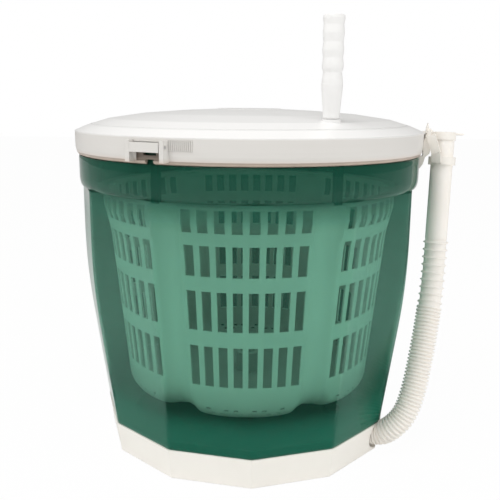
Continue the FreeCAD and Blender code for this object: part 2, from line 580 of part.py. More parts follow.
def tooth_outline(module, teeth, root, tip, slack, phase=0.0):
    """Points round a gear of involute teeth, the first tooth at the given angle."""
    pitch = module * teeth / 2
    base = pitch * math.cos(PRESSURE)
    involute = math.tan(PRESSURE) - PRESSURE
    half = (math.pi * module / 2 - slack) / pitch / 2
    flank = []
    for step in range(6):
        radius = max(base, root) + (tip - max(base, root)) * step / 5
        roll = math.acos(min(1.0, base / radius))
        flank.append((radius, half + involute - (math.tan(roll) - roll)))
    side = [(root, flank[0][1])] if root < base else []
    side += flank
    points = []
    for tooth in range(teeth):
        middle = phase + 2 * math.pi * tooth / teeth
        ring = [(r, middle - a) for r, a in side] + [(r, middle + a) for r, a in reversed(side)]
        points += [Vector(r * math.cos(a), r * math.sin(a), 0) for r, a in ring]
    return points


def toothed(points, bottom, height):
    """Solid between two levels inside closed points."""
    face = Part.Face(Part.makePolygon(points + [points[0]]))
    face.translate(Vector(0, 0, bottom))
    return face.extrude(Vector(0, 0, height))


module = num("gear_module")
sun_teeth = int(num("sun_teeth"))
planet_teeth = int(num("planet_teeth"))
ring_teeth = int(num("ring_teeth"))
gear_low = num(GEAR_BOTTOM)
gear_tall = num("gear_width")
slack = num("backlash")
ORBIT = "(gear_module * (sun_teeth + planet_teeth) / 2)"


def spur(teeth, phase):
    """Spur gear of the train."""
    pitch = module * teeth / 2
    return toothed(tooth_outline(module, teeth, pitch - 1.22 * module, pitch + 0.95 * module, slack, phase),
                   gear_low, gear_tall)


ring_pitch = module * ring_teeth / 2
gap_shape = tooth_outline(module, ring_teeth, ring_pitch - 0.95 * module, ring_pitch + 1.2 * module, -slack, 0.0)
ring_blank = put(rod("ring_blank", RING_OUTER, "%s + gear_width - %s" % (GEAR_BOTTOM, DECK_TOP)), height=DECK_TOP)
ring_space = made("ring_space", toothed(gap_shape, num(DECK_TOP) - 1, gear_tall + 10))
ring_tabs = []
ring_holes = [ring_space]
for number, azimuth in enumerate(ring_screws, start=1):
    ring_tabs.append(put(rod("ring_tab_%d" % number, "screw_head + 2.5", "4"), RING_SCREW, azimuth, DECK_TOP))
    ring_holes.append(put(rod("ring_way_%d" % number, "screw_radius + seat_gap", "20"), RING_SCREW,
                          azimuth, DECK_TOP + " - 5"))
    screw_head = put(rod("ring_head_%d" % number, "screw_head", "2.4"), RING_SCREW, azimuth, DECK_TOP + " + 4")
    screw_shank = put(rod("ring_shank_%d" % number, "screw_radius", "4 + deck_thick"), RING_SCREW, azimuth,
                      DECK_BOTTOM)
    keep(fused("ring_screw_body_%d" % number, [screw_head, screw_shank]), "ring_screw_%d" % number)
keep(cut_all("ring_cut", fused("ring_body", [ring_blank] + ring_tabs), ring_holes), "ring_gear")
SHAFT_LOW = "(%s - spider_drop - spider_thick - 5)" % DECK_BOTTOM
TIP_TOP = "(dome_height - cap_thick - 1)"
sun = fused("sun_body", [
    made("sun_teeth_body", spur(sun_teeth, math.pi / sun_teeth * 0)),
    put(rod("sun_shaft", "shaft_radius", "%s - %s" % (GEAR_BOTTOM, SHAFT_LOW)), height=SHAFT_LOW),
    put(rod("sun_tip", "shaft_tip_radius", "%s - %s - gear_width" % (TIP_TOP, GEAR_BOTTOM)),
        height=GEAR_BOTTOM + " + gear_width")])
keep(sun, "sun_gear")
orbit = num(ORBIT)
planet_bores = []
planet_bosses = []
UNDER = "(dome_height - dome_wall - 3.2)"
for number, angle in enumerate((0, 120, 240), start=1):
    gear_shape = spur(planet_teeth, 0.0)
    gear_shape.rotate(Vector(0, 0, 0), Vector(0, 0, 1), angle)
    centre = Vector(orbit * math.cos(math.radians(angle)), orbit * math.sin(math.radians(angle)), 0)
    gear_shape.translate(centre)
    azimuth = angle + 90
    bore = put(rod("planet_bore_%d" % number, "planet_pin_radius + running_gap", "40"), ORBIT, azimuth,
               GEAR_BOTTOM + " - 10")
    keep(cut("planet_cut_%d" % number, made("planet_body_%d" % number, gear_shape), bore), "planet_gear_%d" % number)
    keep(put(rod("planet_rod_%d" % number, "planet_pin_radius", "%s - %s + 1" % (UNDER, GEAR_BOTTOM)), ORBIT, azimuth,
             GEAR_BOTTOM + " - 1"), "planet_pin_%d" % number)
    planet_bores.append(put(rod("planet_seat_%d" % number, "planet_pin_radius + seat_gap", "%s - %s" % (UNDER, GEAR_BOTTOM)),
                            ORBIT, azimuth, GEAR_BOTTOM))
    planet_bosses.append(put(rod("planet_boss_%d" % number, "planet_pin_radius + 4",
                                 "%s + 2 - %s - gear_width - 0.5" % (UNDER, GEAR_BOTTOM)), ORBIT, azimuth,
                             GEAR_BOTTOM + " + gear_width + 0.5"))

# ---- crank disc, cap and handle --------------------------------------------------------
top_line = [(str(r), "dome_height - %s" % drop) for r, drop in DOME]
under_line = [(str(r), "dome_height - dome_wall - %s" % drop) for r, drop in reversed(DOME[1:])]
disc = turned("disc_body", [
    ("shaft_tip_radius + running_gap", GEAR_BOTTOM + " + gear_width + 0.5"), ("12", GEAR_BOTTOM + " + gear_width + 0.5"),
    ("12", UNDER), ("33", UNDER)] + list(reversed(under_line)) + [
    (DISC_EDGE + " - 2.6", "lid_seam_height - dome_wall + 0.5"), (DISC_EDGE + " - 2.6", "lid_seam_height - disc_lip"),
    (DISC_EDGE, "lid_seam_height - disc_lip"), (DISC_EDGE, "lid_seam_height + 0.2")] + list(reversed(top_line)) + [
    ("cap_radius + 0.4", "dome_height - 0.7"), ("cap_radius + 0.4", "dome_height - cap_thick - 0.1"),
    ("shaft_tip_radius + running_gap", "dome_height - cap_thick - 0.1")])
PIN_LOW = "(dome_height - dome_wall - 14)"
handle_spot = ("handle_radius", "handle_azimuth")
handle_boss = put(rod("handle_boss", "grip_pin_radius + 4.5", "handle_foot - body_gap - " + PIN_LOW), handle_spot[0],
                  handle_spot[1], PIN_LOW)
handle_seat = put(rod("handle_seat", "grip_pin_radius + seat_gap", "40"), handle_spot[0], handle_spot[1],
                  PIN_LOW + " + 1.5")
disc_whole = cut_all("disc_cut", fused("disc_built", [disc, handle_boss] + planet_bosses), planet_bores + [handle_seat])
keep(disc_whole, "crank_disc")
cap_points = []
cap_count = int(num("cap_teeth"))
for tooth in range(cap_count):
    for share, out in ((0.0, 0.0), (0.3, 0.0), (0.45, -0.7), (0.85, -0.7)):
        angle = 2 * math.pi * (tooth + share) / cap_count
        radius = num("cap_radius") + out
        cap_points.append(Vector(radius * math.cos(angle), radius * math.sin(angle), 0))
centre_cap = made("cap_body", toothed(cap_points, num("dome_height - cap_thick"), num("cap_thick")))
keep(centre_cap, "centre_cap")
pin_rod = put(rod("grip_rod", "grip_pin_radius", "handle_top - 4 - %s - 1.5" % PIN_LOW), handle_spot[0], handle_spot[1],
              PIN_LOW + " + 1.5")
keep(pin_rod, "grip_pin")
girth = "handle_girth"
waist = "handle_waist"
grip = turned("grip_body", [
    ("0", "handle_foot"), ("handle_end - 0.8", "handle_foot"), ("handle_end", "handle_foot + 1.2"),
    ("handle_end", "handle_top - 81.5"), (girth + " - 0.5", "handle_top - 66.1"), (girth, "handle_top - 58.5"),
    (girth + " - 0.3", "handle_top - 54.1"), ("handle_neck", "handle_top - 47.5"),
    (girth + " - 0.2", "handle_top - 44.5"), (girth, "handle_top - 42.0"), (girth + " - 0.2", "handle_top - 39.5"),
    (waist, "handle_top - 35.5"), (girth + " - 0.2", "handle_top - 31.5"), (girth, "handle_top - 29.0"),
    (girth + " - 0.2", "handle_top - 26.5"), (waist, "handle_top - 22.2"), (girth + " - 0.2", "handle_top - 17.5"),
    (girth, "handle_top - 15.0"), (girth + " - 0.2", "handle_top - 12.5"), (waist + " + 0.1", "handle_top - 8.1"),
    (girth + " + 0.2", "handle_top - 3"), (girth, "handle_top - 0.8"), (girth + " - 1", "handle_top"),
    ("0", "handle_top")])
put(grip, handle_spot[0], handle_spot[1], "0", "0")
grip_bore = put(rod("grip_bore", "grip_pin_radius + running_gap", "handle_top - 4 + 0.3 - handle_foot + 1"),
                handle_spot[0], handle_spot[1], "handle_foot - 1")
keep(cut("grip_cut", grip, grip_bore), "grip_sleeve")

# ---- drive spider ----------------------------------------------------------------------
SPIDER_TOP = "(%s - spider_drop)" % DECK_BOTTOM
SPIDER_LOW = "(%s - spider_thick)" % SPIDER_TOP
spider_parts = [put(rod("spider_hub", "shaft_radius + 14", "spider_thick"), height=SPIDER_LOW)]
RING_EDGE = "(finger_radius + finger_depth / 2)"
spider_rim = cut("spider_rim", put(rod("spider_rim_disc", RING_EDGE, "spider_thick"), height=SPIDER_LOW),
                 put(rod("spider_rim_hole", RING_EDGE + " - spider_ring", "20"), height=SPIDER_LOW + " - 5"))
spider_parts.append(spider_rim)
for number, azimuth in enumerate(FLUTES, start=1):
    turn = "%s + basket_turn" % azimuth
    spider_parts.append(sector_block("spider_arm_%d" % number, "shaft_radius + 4", RING_EDGE + " - 1", "-arm_width / 2",
                                     "arm_width / 2", SPIDER_LOW, SPIDER_TOP, turn))
    spider_parts.append(sector_block("finger_%d" % number, RING_EDGE + " - finger_depth", RING_EDGE,
                                     "-finger_width / 2", "finger_width / 2", "basket_top + body_gap", SPIDER_TOP, turn))
spider_bore = put(rod("spider_bore", "shaft_radius + seat_gap", "30"), height=SPIDER_LOW + " - 10")
keep(cut("spider_cut", fused("spider_built", spider_parts), spider_bore), "drive_spider")
nut_points = []
for corner in range(6):
    angle = math.pi / 3 * corner
    nut_points.append(Vector(13 * math.cos(angle), 13 * math.sin(angle), 0))
nut_blank = made("nut_blank", toothed(nut_points, num(SPIDER_LOW) - 4.5, 4.5))
nut_bore = put(rod("nut_bore", "shaft_radius + seat_gap", "30"), height=SPIDER_LOW + " - 10")
keep(cut("nut_cut", nut_blank, nut_bore), "spider_nut")

# ---- hose ------------------------------------------------------------------------------
# Points of the hose's centre line, from the nozzle to the foot of the smooth pipe.
pipe_way = Vector(0.0414, 0.0999, 0.9941).normalize()
pipe_foot = Vector(193.5, -36.6, 216.7)
route = [hose_start, bend_spot, Vector(144.6, -85.4, 27.2), Vector(158.2, -85.9, 42.6), Vector(167.2, -79.9, 65.4),
         Vector(175.2, -70.2, 97.2), Vector(183.6, -57.4, 134.0), pipe_foot - pipe_way * 46, pipe_foot]
runs = [(after - before).Length for before, after in zip(route, route[1:])]
pieces = []
spot = route[0]
for index in range(1, len(route) - 1):
    before = (route[index] - route[index - 1]).normalize()
    after = (route[index + 1] - route[index]).normalize()
    bend = before.getAngle(after)
    reach = 0.45 * min(runs[index - 1], runs[index])
    radius = reach / math.tan(bend / 2)
    print("hose bend %d: radius %.1f mm, turn %.1f degrees" % (index, radius, math.degrees(bend)))
    entry = route[index] - before * reach
    leave = route[index] + after * reach
    inward = (after - before).normalize()
    middle = route[index] + inward * (radius / math.cos(bend / 2) - radius)
    pieces.append(("line", spot, entry, None, (entry - spot).Length))
    pieces.append(("arc", entry, leave, Part.Arc(entry, middle, leave), radius * bend))
    spot = leave
pieces.append(("line", spot, route[-1], None, (route[-1] - spot).Length))
hose_length = sum(piece[4] for piece in pieces)
print("hose length %.1f mm" % hose_length)


def on_route(distance):
    """Point and direction on the hose's centre line at a distance from the nozzle."""
    left = min(max(distance, 0.0), hose_length)
    for kind, start, end, arc, length in pieces:
        if left <= length + 1e-9:
            if kind == "line":
                way = (end - start).normalize()
                return start + way * left, way
            first, last = arc.ParameterRange if hasattr(arc, "ParameterRange") else (arc.FirstParameter, arc.LastParameter)
            parameter = first + (last - first) * left / length
            return arc.value(parameter), Vector(*arc.tangent(parameter)[0])
        left -= length
    return route[-1], pipe_way


steady = Vector(math.sin(math.radians(num("outlet_azimuth") + 90)), -math.cos(math.radians(num("outlet_azimuth") + 90)), 0)


def hoop(distance, radius):
    """Circle square to the hose at a distance, its X axis kept steady."""
    centre, way = on_route(distance)
    level = (steady - way * steady.dot(way)).normalize()
    circle = Part.Circle(Vector(0, 0, 0), Vector(0, 0, 1), radius)
    edge = circle.toShape()
    edge.Placement = Placement(centre, Rotation(level, way.cross(level), way, "XYZ"))
    return Part.Wire([edge])


crest = num("hose_crest")
valley = num("hose_valley")
stations = [(0.0, valley)]
wide_from = hose_length - num("wide_ribs * wide_pitch")
fine_count = int((wide_from - num("cuff")) / num("rib_pitch"))
fine_pitch = (wide_from - num("cuff")) / fine_count
for index in range(fine_count):
    low = num("cuff") + index * fine_pitch
    stations += [(low + 0.1 * fine_pitch, valley), (low + 0.32 * fine_pitch, crest),
                 (low + 0.72 * fine_pitch, crest), (low + 0.94 * fine_pitch, valley)]
wide_pitch = num("wide_pitch")
for index in range(int(num("wide_ribs"))):
    low = wide_from + index * wide_pitch
    stations += [(low + 0.12 * wide_pitch, valley), (low + 0.3 * wide_pitch, crest),
                 (low + 0.72 * wide_pitch, crest), (low + 0.9 * wide_pitch, valley)]
stations.append((hose_length, valley))
print("hose ribs %d" % (fine_count + int(num("wide_ribs"))))
outside = Part.makeLoft([hoop(at, radius) for at, radius in stations], True, True)
bore_at = sorted(set([0.0, hose_length] + [at for at, radius in stations[1:-1:4]]))
inside = Part.makeLoft([hoop(at, num("hose_bore")) for at in bore_at], True, True)
keep(made("hose_body", outside.cut(inside)), "drain_hose")
pipe = cut("pipe_cut", along(("pipe_rod", "pipe_radius", "pipe_length"), pipe_foot, pipe_way),
           along(("pipe_bore_rod", "pipe_bore", "pipe_length + 10"), pipe_foot - pipe_way * 5, pipe_way))
keep(pipe, "hose_pipe")
collar_foot = pipe_foot + pipe_way * num("collar_up")
collar_ring = cut("collar_cut", along(("collar_rod", "collar_radius", "collar_height"), collar_foot, pipe_way),
                  along(("collar_bore", "pipe_radius + seat_gap", "40"), collar_foot - pipe_way * 10, pipe_way))
keep(collar_ring, "hose_collar")

# cap over the pipe's mouth, lifted off along the pipe
cap_foot = pipe_foot + pipe_way * num("pipe_length + body_gap")
cap_top = along(("hose_cap_top", "hose_cap_radius", "hose_cap_plate"), cap_foot, pipe_way)
cap_skirt = along(("hose_cap_skirt_rod", "hose_cap_radius", "hose_cap_skirt"), cap_foot - pipe_way * num("hose_cap_skirt"),
                  pipe_way)
cap_bore = along(("hose_cap_bore", "pipe_radius + running_gap", "hose_cap_skirt + 5"),
                 cap_foot - pipe_way * num("hose_cap_skirt + 5"), pipe_way)
tab_axis = (Vector(1, 0, 0) - pipe_way * pipe_way.x).normalize()
tab_frame = Rotation(tab_axis, pipe_way.cross(tab_axis), pipe_way, "XYZ")
cap_tab = block("cap_tab", "cap_tab_reach", "cap_tab_width", "hose_cap_plate - 0.4")
cap_tab.Placement = Placement(cap_foot - pipe_way.cross(tab_axis) * num("cap_tab_width / 2"), tab_frame)
keep(cut("hose_cap_cut", fused("hose_cap_built", [cap_top, cap_skirt, cap_tab]), cap_bore), "hose_cap")

# hook on the tub's band, and the strap that holds the hose to it
hook_angle = math.radians(num("hook_azimuth"))
hook_out = Vector(math.sin(hook_angle), -math.cos(hook_angle), 0)
hook_side = Vector(math.cos(hook_angle), math.sin(hook_angle), 0)
SKIN = "(band_radius + 0.05)"
CLEAR = "(lid_radius + 1)"
hook = padded("hook_body", [
    (SKIN, SHOULDER + " - 15"), (CLEAR + " + 0.5", SHOULDER + " - 9"), (CLEAR + " + 2.2", SHOULDER + " - 2"),
    (CLEAR + " + 6.4", SHOULDER + " + 1.6"), (CLEAR + " + 6.8", SHOULDER + " + 5"),
    (CLEAR + " + 5.4", SHOULDER + " + 13"), (CLEAR + " + 4.4", "hook_tip_height - 4"),
    (CLEAR + " + 3.6", "hook_tip_height"), (CLEAR + " + 2.4", "hook_tip_height - 4"), (CLEAR + " + 1", SHOULDER + " + 17"), (CLEAR, SHOULDER + " + 13"),
    (CLEAR, SHOULDER + " - 0.8"), (SKIN, SHOULDER + " - 0.8")], "hook_width", "XZ_Plane", True)
hook.Placement = Placement(Vector(0, 0, 0), Rotation(Vector(0, 0, 1), num("hook_azimuth") - 90))
bind(hook, "Placement.Rotation.Angle", "hook_azimuth - 90")
keep(hook, "hose_hook")
eye_level = num("hook_tip_height") - 10
eye_spot = hook_out * num(CLEAR + " + 3.4") + Vector(0, 0, eye_level)
wide = num("strap_width")
thick = num("strap_thick")
collar_mid = collar_foot + pipe_way * num("collar_height / 2")
away = (Vector(-0.62, -0.78, 0)).normalize()
strap_low = collar_mid + away * (num("collar_radius") + 0.35)
strap_points = [strap_low, strap_low + Vector(-1.2, -1.6, 9), eye_spot + Vector(1.5, -9.5, -2.0), eye_spot + Vector(0.4, -4.5, 0)]
strap_spans = []
for before, after in zip(strap_points, strap_points[1:]):
    way = (after - before).normalize()
    face_way = (away - way * away.dot(way)).normalize()
    across = way.cross(face_way)
    span = Part.makeBox((after - before).Length + 0.8, wide, thick, Vector(-0.4, -wide / 2, 0))
    span.Placement = Placement(before, Rotation(way, across * -1, face_way, "XYZ"))
    strap_spans.append(span)
eye = Part.makeBox(8.4, num("hook_width") + 3.4, thick, Vector(-4.4, -num("hook_width") / 2 - 1.7, 0))
eye.Placement = Placement(eye_spot, Rotation(hook_out, hook_side, Vector(0, 0, 1), "XYZ"))
strap_solid = strap_spans[0].multiFuse(strap_spans[1:] + [eye])
hook_hole = Part.makeBox(5.6, num("hook_width") + 0.8, 12, Vector(-2.8, -num("hook_width") / 2 - 0.4, -6))
hook_hole.Placement = Placement(eye_spot, Rotation(hook_out, hook_side, Vector(0, 0, 1), "XYZ"))
strap_solid = strap_solid.cut(hook_hole).cut(Part.makeCylinder(num(CLEAR) - 0.6, 60, Vector(0, 0, 300)))
keep(made("strap_body", strap_solid.removeSplitter()), "hose_strap")

# ---- write -----------------------------------------------------------------------------
doc.recompute()
faults = [thing.Name for thing in doc.Objects if "Invalid" in thing.State or "Error" in thing.State]
if faults:
    raise RuntimeError("objects that failed: %s" % ", ".join(faults))
os.makedirs("parts", exist_ok=True)
for label, piece in KEPT:
    if piece.Shape.isNull() or not piece.Shape.isValid() or not piece.Shape.Solids:
        raise RuntimeError("sub-part %s has no valid solid" % label)
for label, piece in KEPT:
    piece.Shape.exportStep("parts/%s.step" % label)
print("%d sub-parts" % len(KEPT))
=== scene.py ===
"""Dresses a hand-cranked laundry tub: green twelve-sided tub, milky basket, white lid, cream hose."""

import json
import logging
import math
from dataclasses import dataclass
from enum import Enum
from typing import Any, Callable, Sequence

import bmesh
import bpy
from mathutils import Matrix, Vector


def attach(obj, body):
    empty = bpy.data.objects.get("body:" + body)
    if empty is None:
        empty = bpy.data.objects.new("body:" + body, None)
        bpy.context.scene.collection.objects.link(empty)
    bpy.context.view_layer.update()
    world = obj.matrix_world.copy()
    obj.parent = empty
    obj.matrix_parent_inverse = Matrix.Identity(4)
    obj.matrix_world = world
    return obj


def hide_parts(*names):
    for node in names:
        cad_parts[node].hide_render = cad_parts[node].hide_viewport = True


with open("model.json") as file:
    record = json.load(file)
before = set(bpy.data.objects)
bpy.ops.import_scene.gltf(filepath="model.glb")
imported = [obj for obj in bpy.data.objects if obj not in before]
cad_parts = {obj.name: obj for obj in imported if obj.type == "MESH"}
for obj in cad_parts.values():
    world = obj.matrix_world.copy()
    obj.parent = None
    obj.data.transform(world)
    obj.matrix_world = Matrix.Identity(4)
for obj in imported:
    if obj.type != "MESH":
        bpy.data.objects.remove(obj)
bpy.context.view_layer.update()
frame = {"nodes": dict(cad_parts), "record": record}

LOG = logging.getLogger("laundry_tub")
MM = 0.001
SAME_SPOT = 1e-7
TUB_SIDES = 12
SECTOR = 360.0 / TUB_SIDES
WHITE = (1.0, 1.0, 1.0)
ROOM_WHITE = (1.0, 0.99, 0.97)

Colour = tuple[float, float, float]
Spot = tuple[float, float, float]
Pair = tuple[float, float]
Face = tuple[int, ...]
Settings = dict[str, Any] | None
Inputs = dict[Any, Any] | None


# ---- shader maths
class Wire:
    """A shader socket that takes part in written arithmetic."""

    def __init__(self, bench: "Bench", socket: bpy.types.NodeSocket) -> None:
        """Keeps the socket and the bench that adds its nodes."""
        self.bench = bench
        self.socket = socket

    def _math(self, operation: str, *values: Any) -> "Wire":
        """Adds a Math node.

        Args:
            operation: Name of the Math node's operation.
            values: Numbers or wires, in the node's order.

        Returns:
            The node's result.
        """
        return self.bench.node("ShaderNodeMath", {"operation": operation}, dict(enumerate(values)))

    def __add__(self, other: Any) -> "Wire":
        """Sum."""
        return self._math("ADD", self, other)

    def __radd__(self, other: Any) -> "Wire":
        """Reflected sum."""
        return self._math("ADD", other, self)

    def __sub__(self, other: Any) -> "Wire":
        """Difference."""
        return self._math("SUBTRACT", self, other)

    def __rsub__(self, other: Any) -> "Wire":
        """Reflected difference."""
        return self._math("SUBTRACT", other, self)

    def __mul__(self, other: Any) -> "Wire":
        """Product."""
        return self._math("MULTIPLY", self, other)

    def __rmul__(self, other: Any) -> "Wire":
        """Reflected product."""
        return self._math("MULTIPLY", other, self)

    def __pow__(self, other: Any) -> "Wire":
        """Power."""
        return self._math("POWER", self, other)

    def __rpow__(self, other: Any) -> "Wire":
        """Reflected power."""
        return self._math("POWER", other, self)

    def __gt__(self, other: Any) -> "Wire":
        """One where this is larger."""
        return self._math("GREATER_THAN", self, other)

    def __lt__(self, other: Any) -> "Wire":
        """One where this is smaller."""
        return self._math("LESS_THAN", self, other)

    def wave(self) -> "Wire":
        """Sine."""
        return self._math("SINE", self)

    def ramp(self, low: float, high: float) -> "Wire":
        """Rises smoothly from 0 at low to 1 at high.

        Args:
            low: Value that gives 0.
            high: Value that gives 1.

        Returns:
            The smooth step.
        """
        return self.bench.node("ShaderNodeMapRange", {"interpolation_type": "SMOOTHSTEP"},
                               {"Value": self, "From Min": low, "From Max": high})


class Bench:
    """The node tree of a material or a world, and the single way to add nodes to it."""

    MIX_SHARE, MIX_FIRST, MIX_SECOND, MIX_RESULT = 0, 6, 7, 2

    def __init__(self, owner: bpy.types.Material | bpy.types.World) -> None:
        """Empties the owner's node tree."""
        self.owner = owner
        owner.use_nodes = True
        self.tree = owner.node_tree
        self.tree.nodes.clear()

    @classmethod
    def of_material(cls, name: str) -> "Bench":
        """Bench of a new material."""
        return cls(bpy.data.materials.new(name))

    def add(self, kind: str, settings: Settings = None, inputs: Inputs = None) -> bpy.types.Node:
        """Adds a node, sets it up, then fills its sockets.

        Args:
            kind: Node type.
            settings: Node properties, set first.
            inputs: Socket name or index to a number, colour or Wire.

        Returns:
            The node.
        """
        made = self.tree.nodes.new(kind)
        for key, value in (settings or {}).items():
            setattr(made, key, value)
        for key, value in (inputs or {}).items():
            socket = made.inputs[key]
            if isinstance(value, Wire):
                self.tree.links.new(value.socket, socket)
            else:
                socket.default_value = (*value, 1.0) if socket.type == "RGBA" else value
        return made

    def node(self, kind: str, settings: Settings = None, inputs: Inputs = None, output: str | int = 0) -> Wire:
        """Adds a node and hands back one of its outputs.

        Args:
            kind: Node type.
            settings: Node properties.
            inputs: Socket values or wires.
            output: Output's name or index.

        Returns:
            The output as a wire.
        """
        return Wire(self, self.add(kind, settings, inputs).outputs[output])

    def place(self) -> Wire:
        """Position in the object's own frame, in metres."""
        return self.node("ShaderNodeTexCoord", output="Object")

    def axis(self, position: Wire, which: str) -> Wire:
        """One axis of a position.

        Args:
            position: Vector wire.
            which: "X", "Y" or "Z".

        Returns:
            The number.
        """
        return self.node("ShaderNodeSeparateXYZ", inputs={0: position}, output=which)

    def noise(self, scale: float, detail: float = 3.0) -> Wire:
        """Cloudy noise between 0 and 1, in the object's own frame.

        Args:
            scale: Features per metre.
            detail: Octaves.

        Returns:
            The noise.
        """
        inputs = {"Vector": self.place(), "Scale": scale, "Detail": detail, "Roughness": 0.55}
        return self.node("ShaderNodeTexNoise", inputs=inputs, output="Fac")

    def blend(self, share: Any, first: Any, second: Any) -> Wire:
        """Colour between two colours.

        Args:
            share: 0 gives the first, 1 the second.
            first: Colour or wire.
            second: Colour or wire.

        Returns:
            The mixed colour.
        """
        inputs = {self.MIX_SHARE: share, self.MIX_FIRST: first, self.MIX_SECOND: second}
        return self.node("ShaderNodeMix", {"data_type": "RGBA", "blend_type": "MIX"}, inputs, self.MIX_RESULT)

    def mix(self, share: Any, first: Wire, second: Wire) -> Wire:
        """Shader between two shaders.

        Args:
            share: 0 gives the first, 1 the second.
            first: Shader wire.
            second: Shader wire.

        Returns:
            The mixed shader.
        """
        return self.node("ShaderNodeMixShader", inputs={0: share, 1: first, 2: second})

    def relief(self, height: Wire, depth: float, soft_edge: float) -> Wire:
        """Normal with a bump, over edges that are slightly rounded.

        Args:
            height: Bump height between 0 and 1.
            depth: Bump depth in metres.
            soft_edge: Radius that edges are rounded to, in metres.

        Returns:
            The normal.
        """
        rounded = self.node("ShaderNodeBevel", {"samples": 4}, {"Radius": soft_edge})
        return self.node("ShaderNodeBump", inputs={"Height": height, "Strength": 1.0, "Distance": depth,
                                                   "Normal": rounded})

    def finish(self, surface: Wire) -> bpy.types.Material:
        """Sends a shader to the output.

        Args:
            surface: Shader wire.

        Returns:
            The finished material.
        """
        self.add("ShaderNodeOutputMaterial", inputs={"Surface": surface})
        return self.owner


# ---- finishes
@dataclass(frozen=True)
class MouldedPlastic:
    """Opaque moulded plastic with a faint cloudiness, fine grain and scuffs, and shade painted into its colour
    where asked.
    """

    name: str
    colour: Colour
    shade: Colour
    gloss: float = 0.35
    coat: float = 0.15
    grain: float = 0.00006
    soft_edge: float = 0.0004
    scatter: float = 0.0
    # Painted shade: the lower lip, up to the top of this band, is darkened brownish and patchy.
    lip_shade_top: float = 0.0
    lip_shade_height: float = 0.0
    lip_shade_ratio: Colour = (0.74, 0.6, 0.5)
    # Painted shade: the side of the piece below these heights is darkened towards the skirt colour.
    skirt: Pair | None = None
    skirt_shade_colour: Colour = (0.72, 0.70, 0.67)
    # Painted shadow and dirt: the ring between two radii and below a height is darkened brown.
    recess: Pair | None = None
    recess_top: float = 0.3132
    recess_shadow_dirt_colour: Colour = (0.11, 0.075, 0.05)
    recess_shadow_dirt_share: float = 0.9
    glow: float = 0.0
    # Painted shade: the inside of a hollow piece is darkened by ambient occlusion; these set its strength, reach
    # and colour.
    hollow: float = 0.0
    hollow_reach: float = 0.26
    hollow_shade_colour: Colour = (0.24, 0.29, 0.27)
    cloud_scale: float = 14.0
    grain_scale: float = 900.0
    scuff_scale: float = 120.0
    cloud_share: float = 0.55
    coat_gloss: float = 0.12
    scatter_depth: Colour = (0.006, 0.005, 0.004)

    def darkened(self, bench: Bench, colour: Wire) -> Wire:
        """Paints shade into the colour, as asked: inside a hollow piece, on its side and lower lip, and shadow with
        dirt in its recesses.

        Args:
            bench: The material's bench.
            colour: Colour so far.

        Returns:
            The colour with these parts in it.
        """
        # Painted shade: ambient occlusion darkens the inside of a hollow piece where shade falls.
        if self.hollow:
            settings = {"samples": 6, "only_local": True}
            openness = bench.node("ShaderNodeAmbientOcclusion", settings, {"Distance": self.hollow_reach}, "AO")
            colour = bench.blend((1.0 - openness).ramp(0.25, 0.85) * self.hollow, colour, self.hollow_shade_colour)
        # Painted shade: the side below the crease is darker because light falls on it less.
        if self.skirt:
            side = 1.0 - bench.axis(bench.place(), "Z").ramp(*self.skirt)
            colour = bench.blend(side, colour, self.skirt_shade_colour)
        # Painted shadow and dirt inside the skirt, seen through the latch windows.
        if self.recess:
            place = bench.place()
            across, along, height = (bench.axis(place, name) for name in ("X", "Y", "Z"))
            reach = (across * across + along * along) ** 0.5
            inside = (reach > self.recess[0]) * (reach < self.recess[1]) * (height < self.recess_top)
            colour = bench.blend(inside * self.recess_shadow_dirt_share, colour, self.recess_shadow_dirt_colour)
        # Painted shade: brownish, patchy darkening of the lower lip, where shade falls under the edge.
        if self.lip_shade_height:
            height = bench.axis(bench.place(), "Z")
            unshaded = height.ramp(self.lip_shade_top - self.lip_shade_height, self.lip_shade_top)
            lip_shade = (1.0 - unshaded) * (0.55 + bench.noise(60.0) * 0.6)
            lip_shade_colour = tuple(part * ratio for part, ratio in zip(self.shade, self.lip_shade_ratio))
            colour = bench.blend(lip_shade, colour, lip_shade_colour)
        return colour

    def make(self) -> bpy.types.Material:
        """Builds the material.

        Returns:
            The material.
        """
        bench = Bench.of_material(self.name)
        cloud = bench.noise(self.cloud_scale, 4.0)
        fine = bench.noise(self.grain_scale, 2.0)
        scuff = bench.noise(self.scuff_scale, 5.0).ramp(0.58, 0.78)
        colour = bench.blend(cloud.ramp(0.35, 0.7) * self.cloud_share, self.colour, self.shade)
        shader = bench.node("ShaderNodeBsdfPrincipled", inputs={
            "Base Color": self.darkened(bench, colour), "Roughness": self.gloss + scuff * 0.14 + cloud * 0.06,
            "Coat Weight": self.coat, "Coat Roughness": self.coat_gloss, "Subsurface Weight": self.scatter,
            "Subsurface Radius": self.scatter_depth, "Subsurface Scale": 1.0,
            "Emission Color": self.colour, "Emission Strength": self.glow,
            "Normal": bench.relief(fine * 0.7 + cloud * 0.3, self.grain, self.soft_edge)})
        return bench.finish(shader)


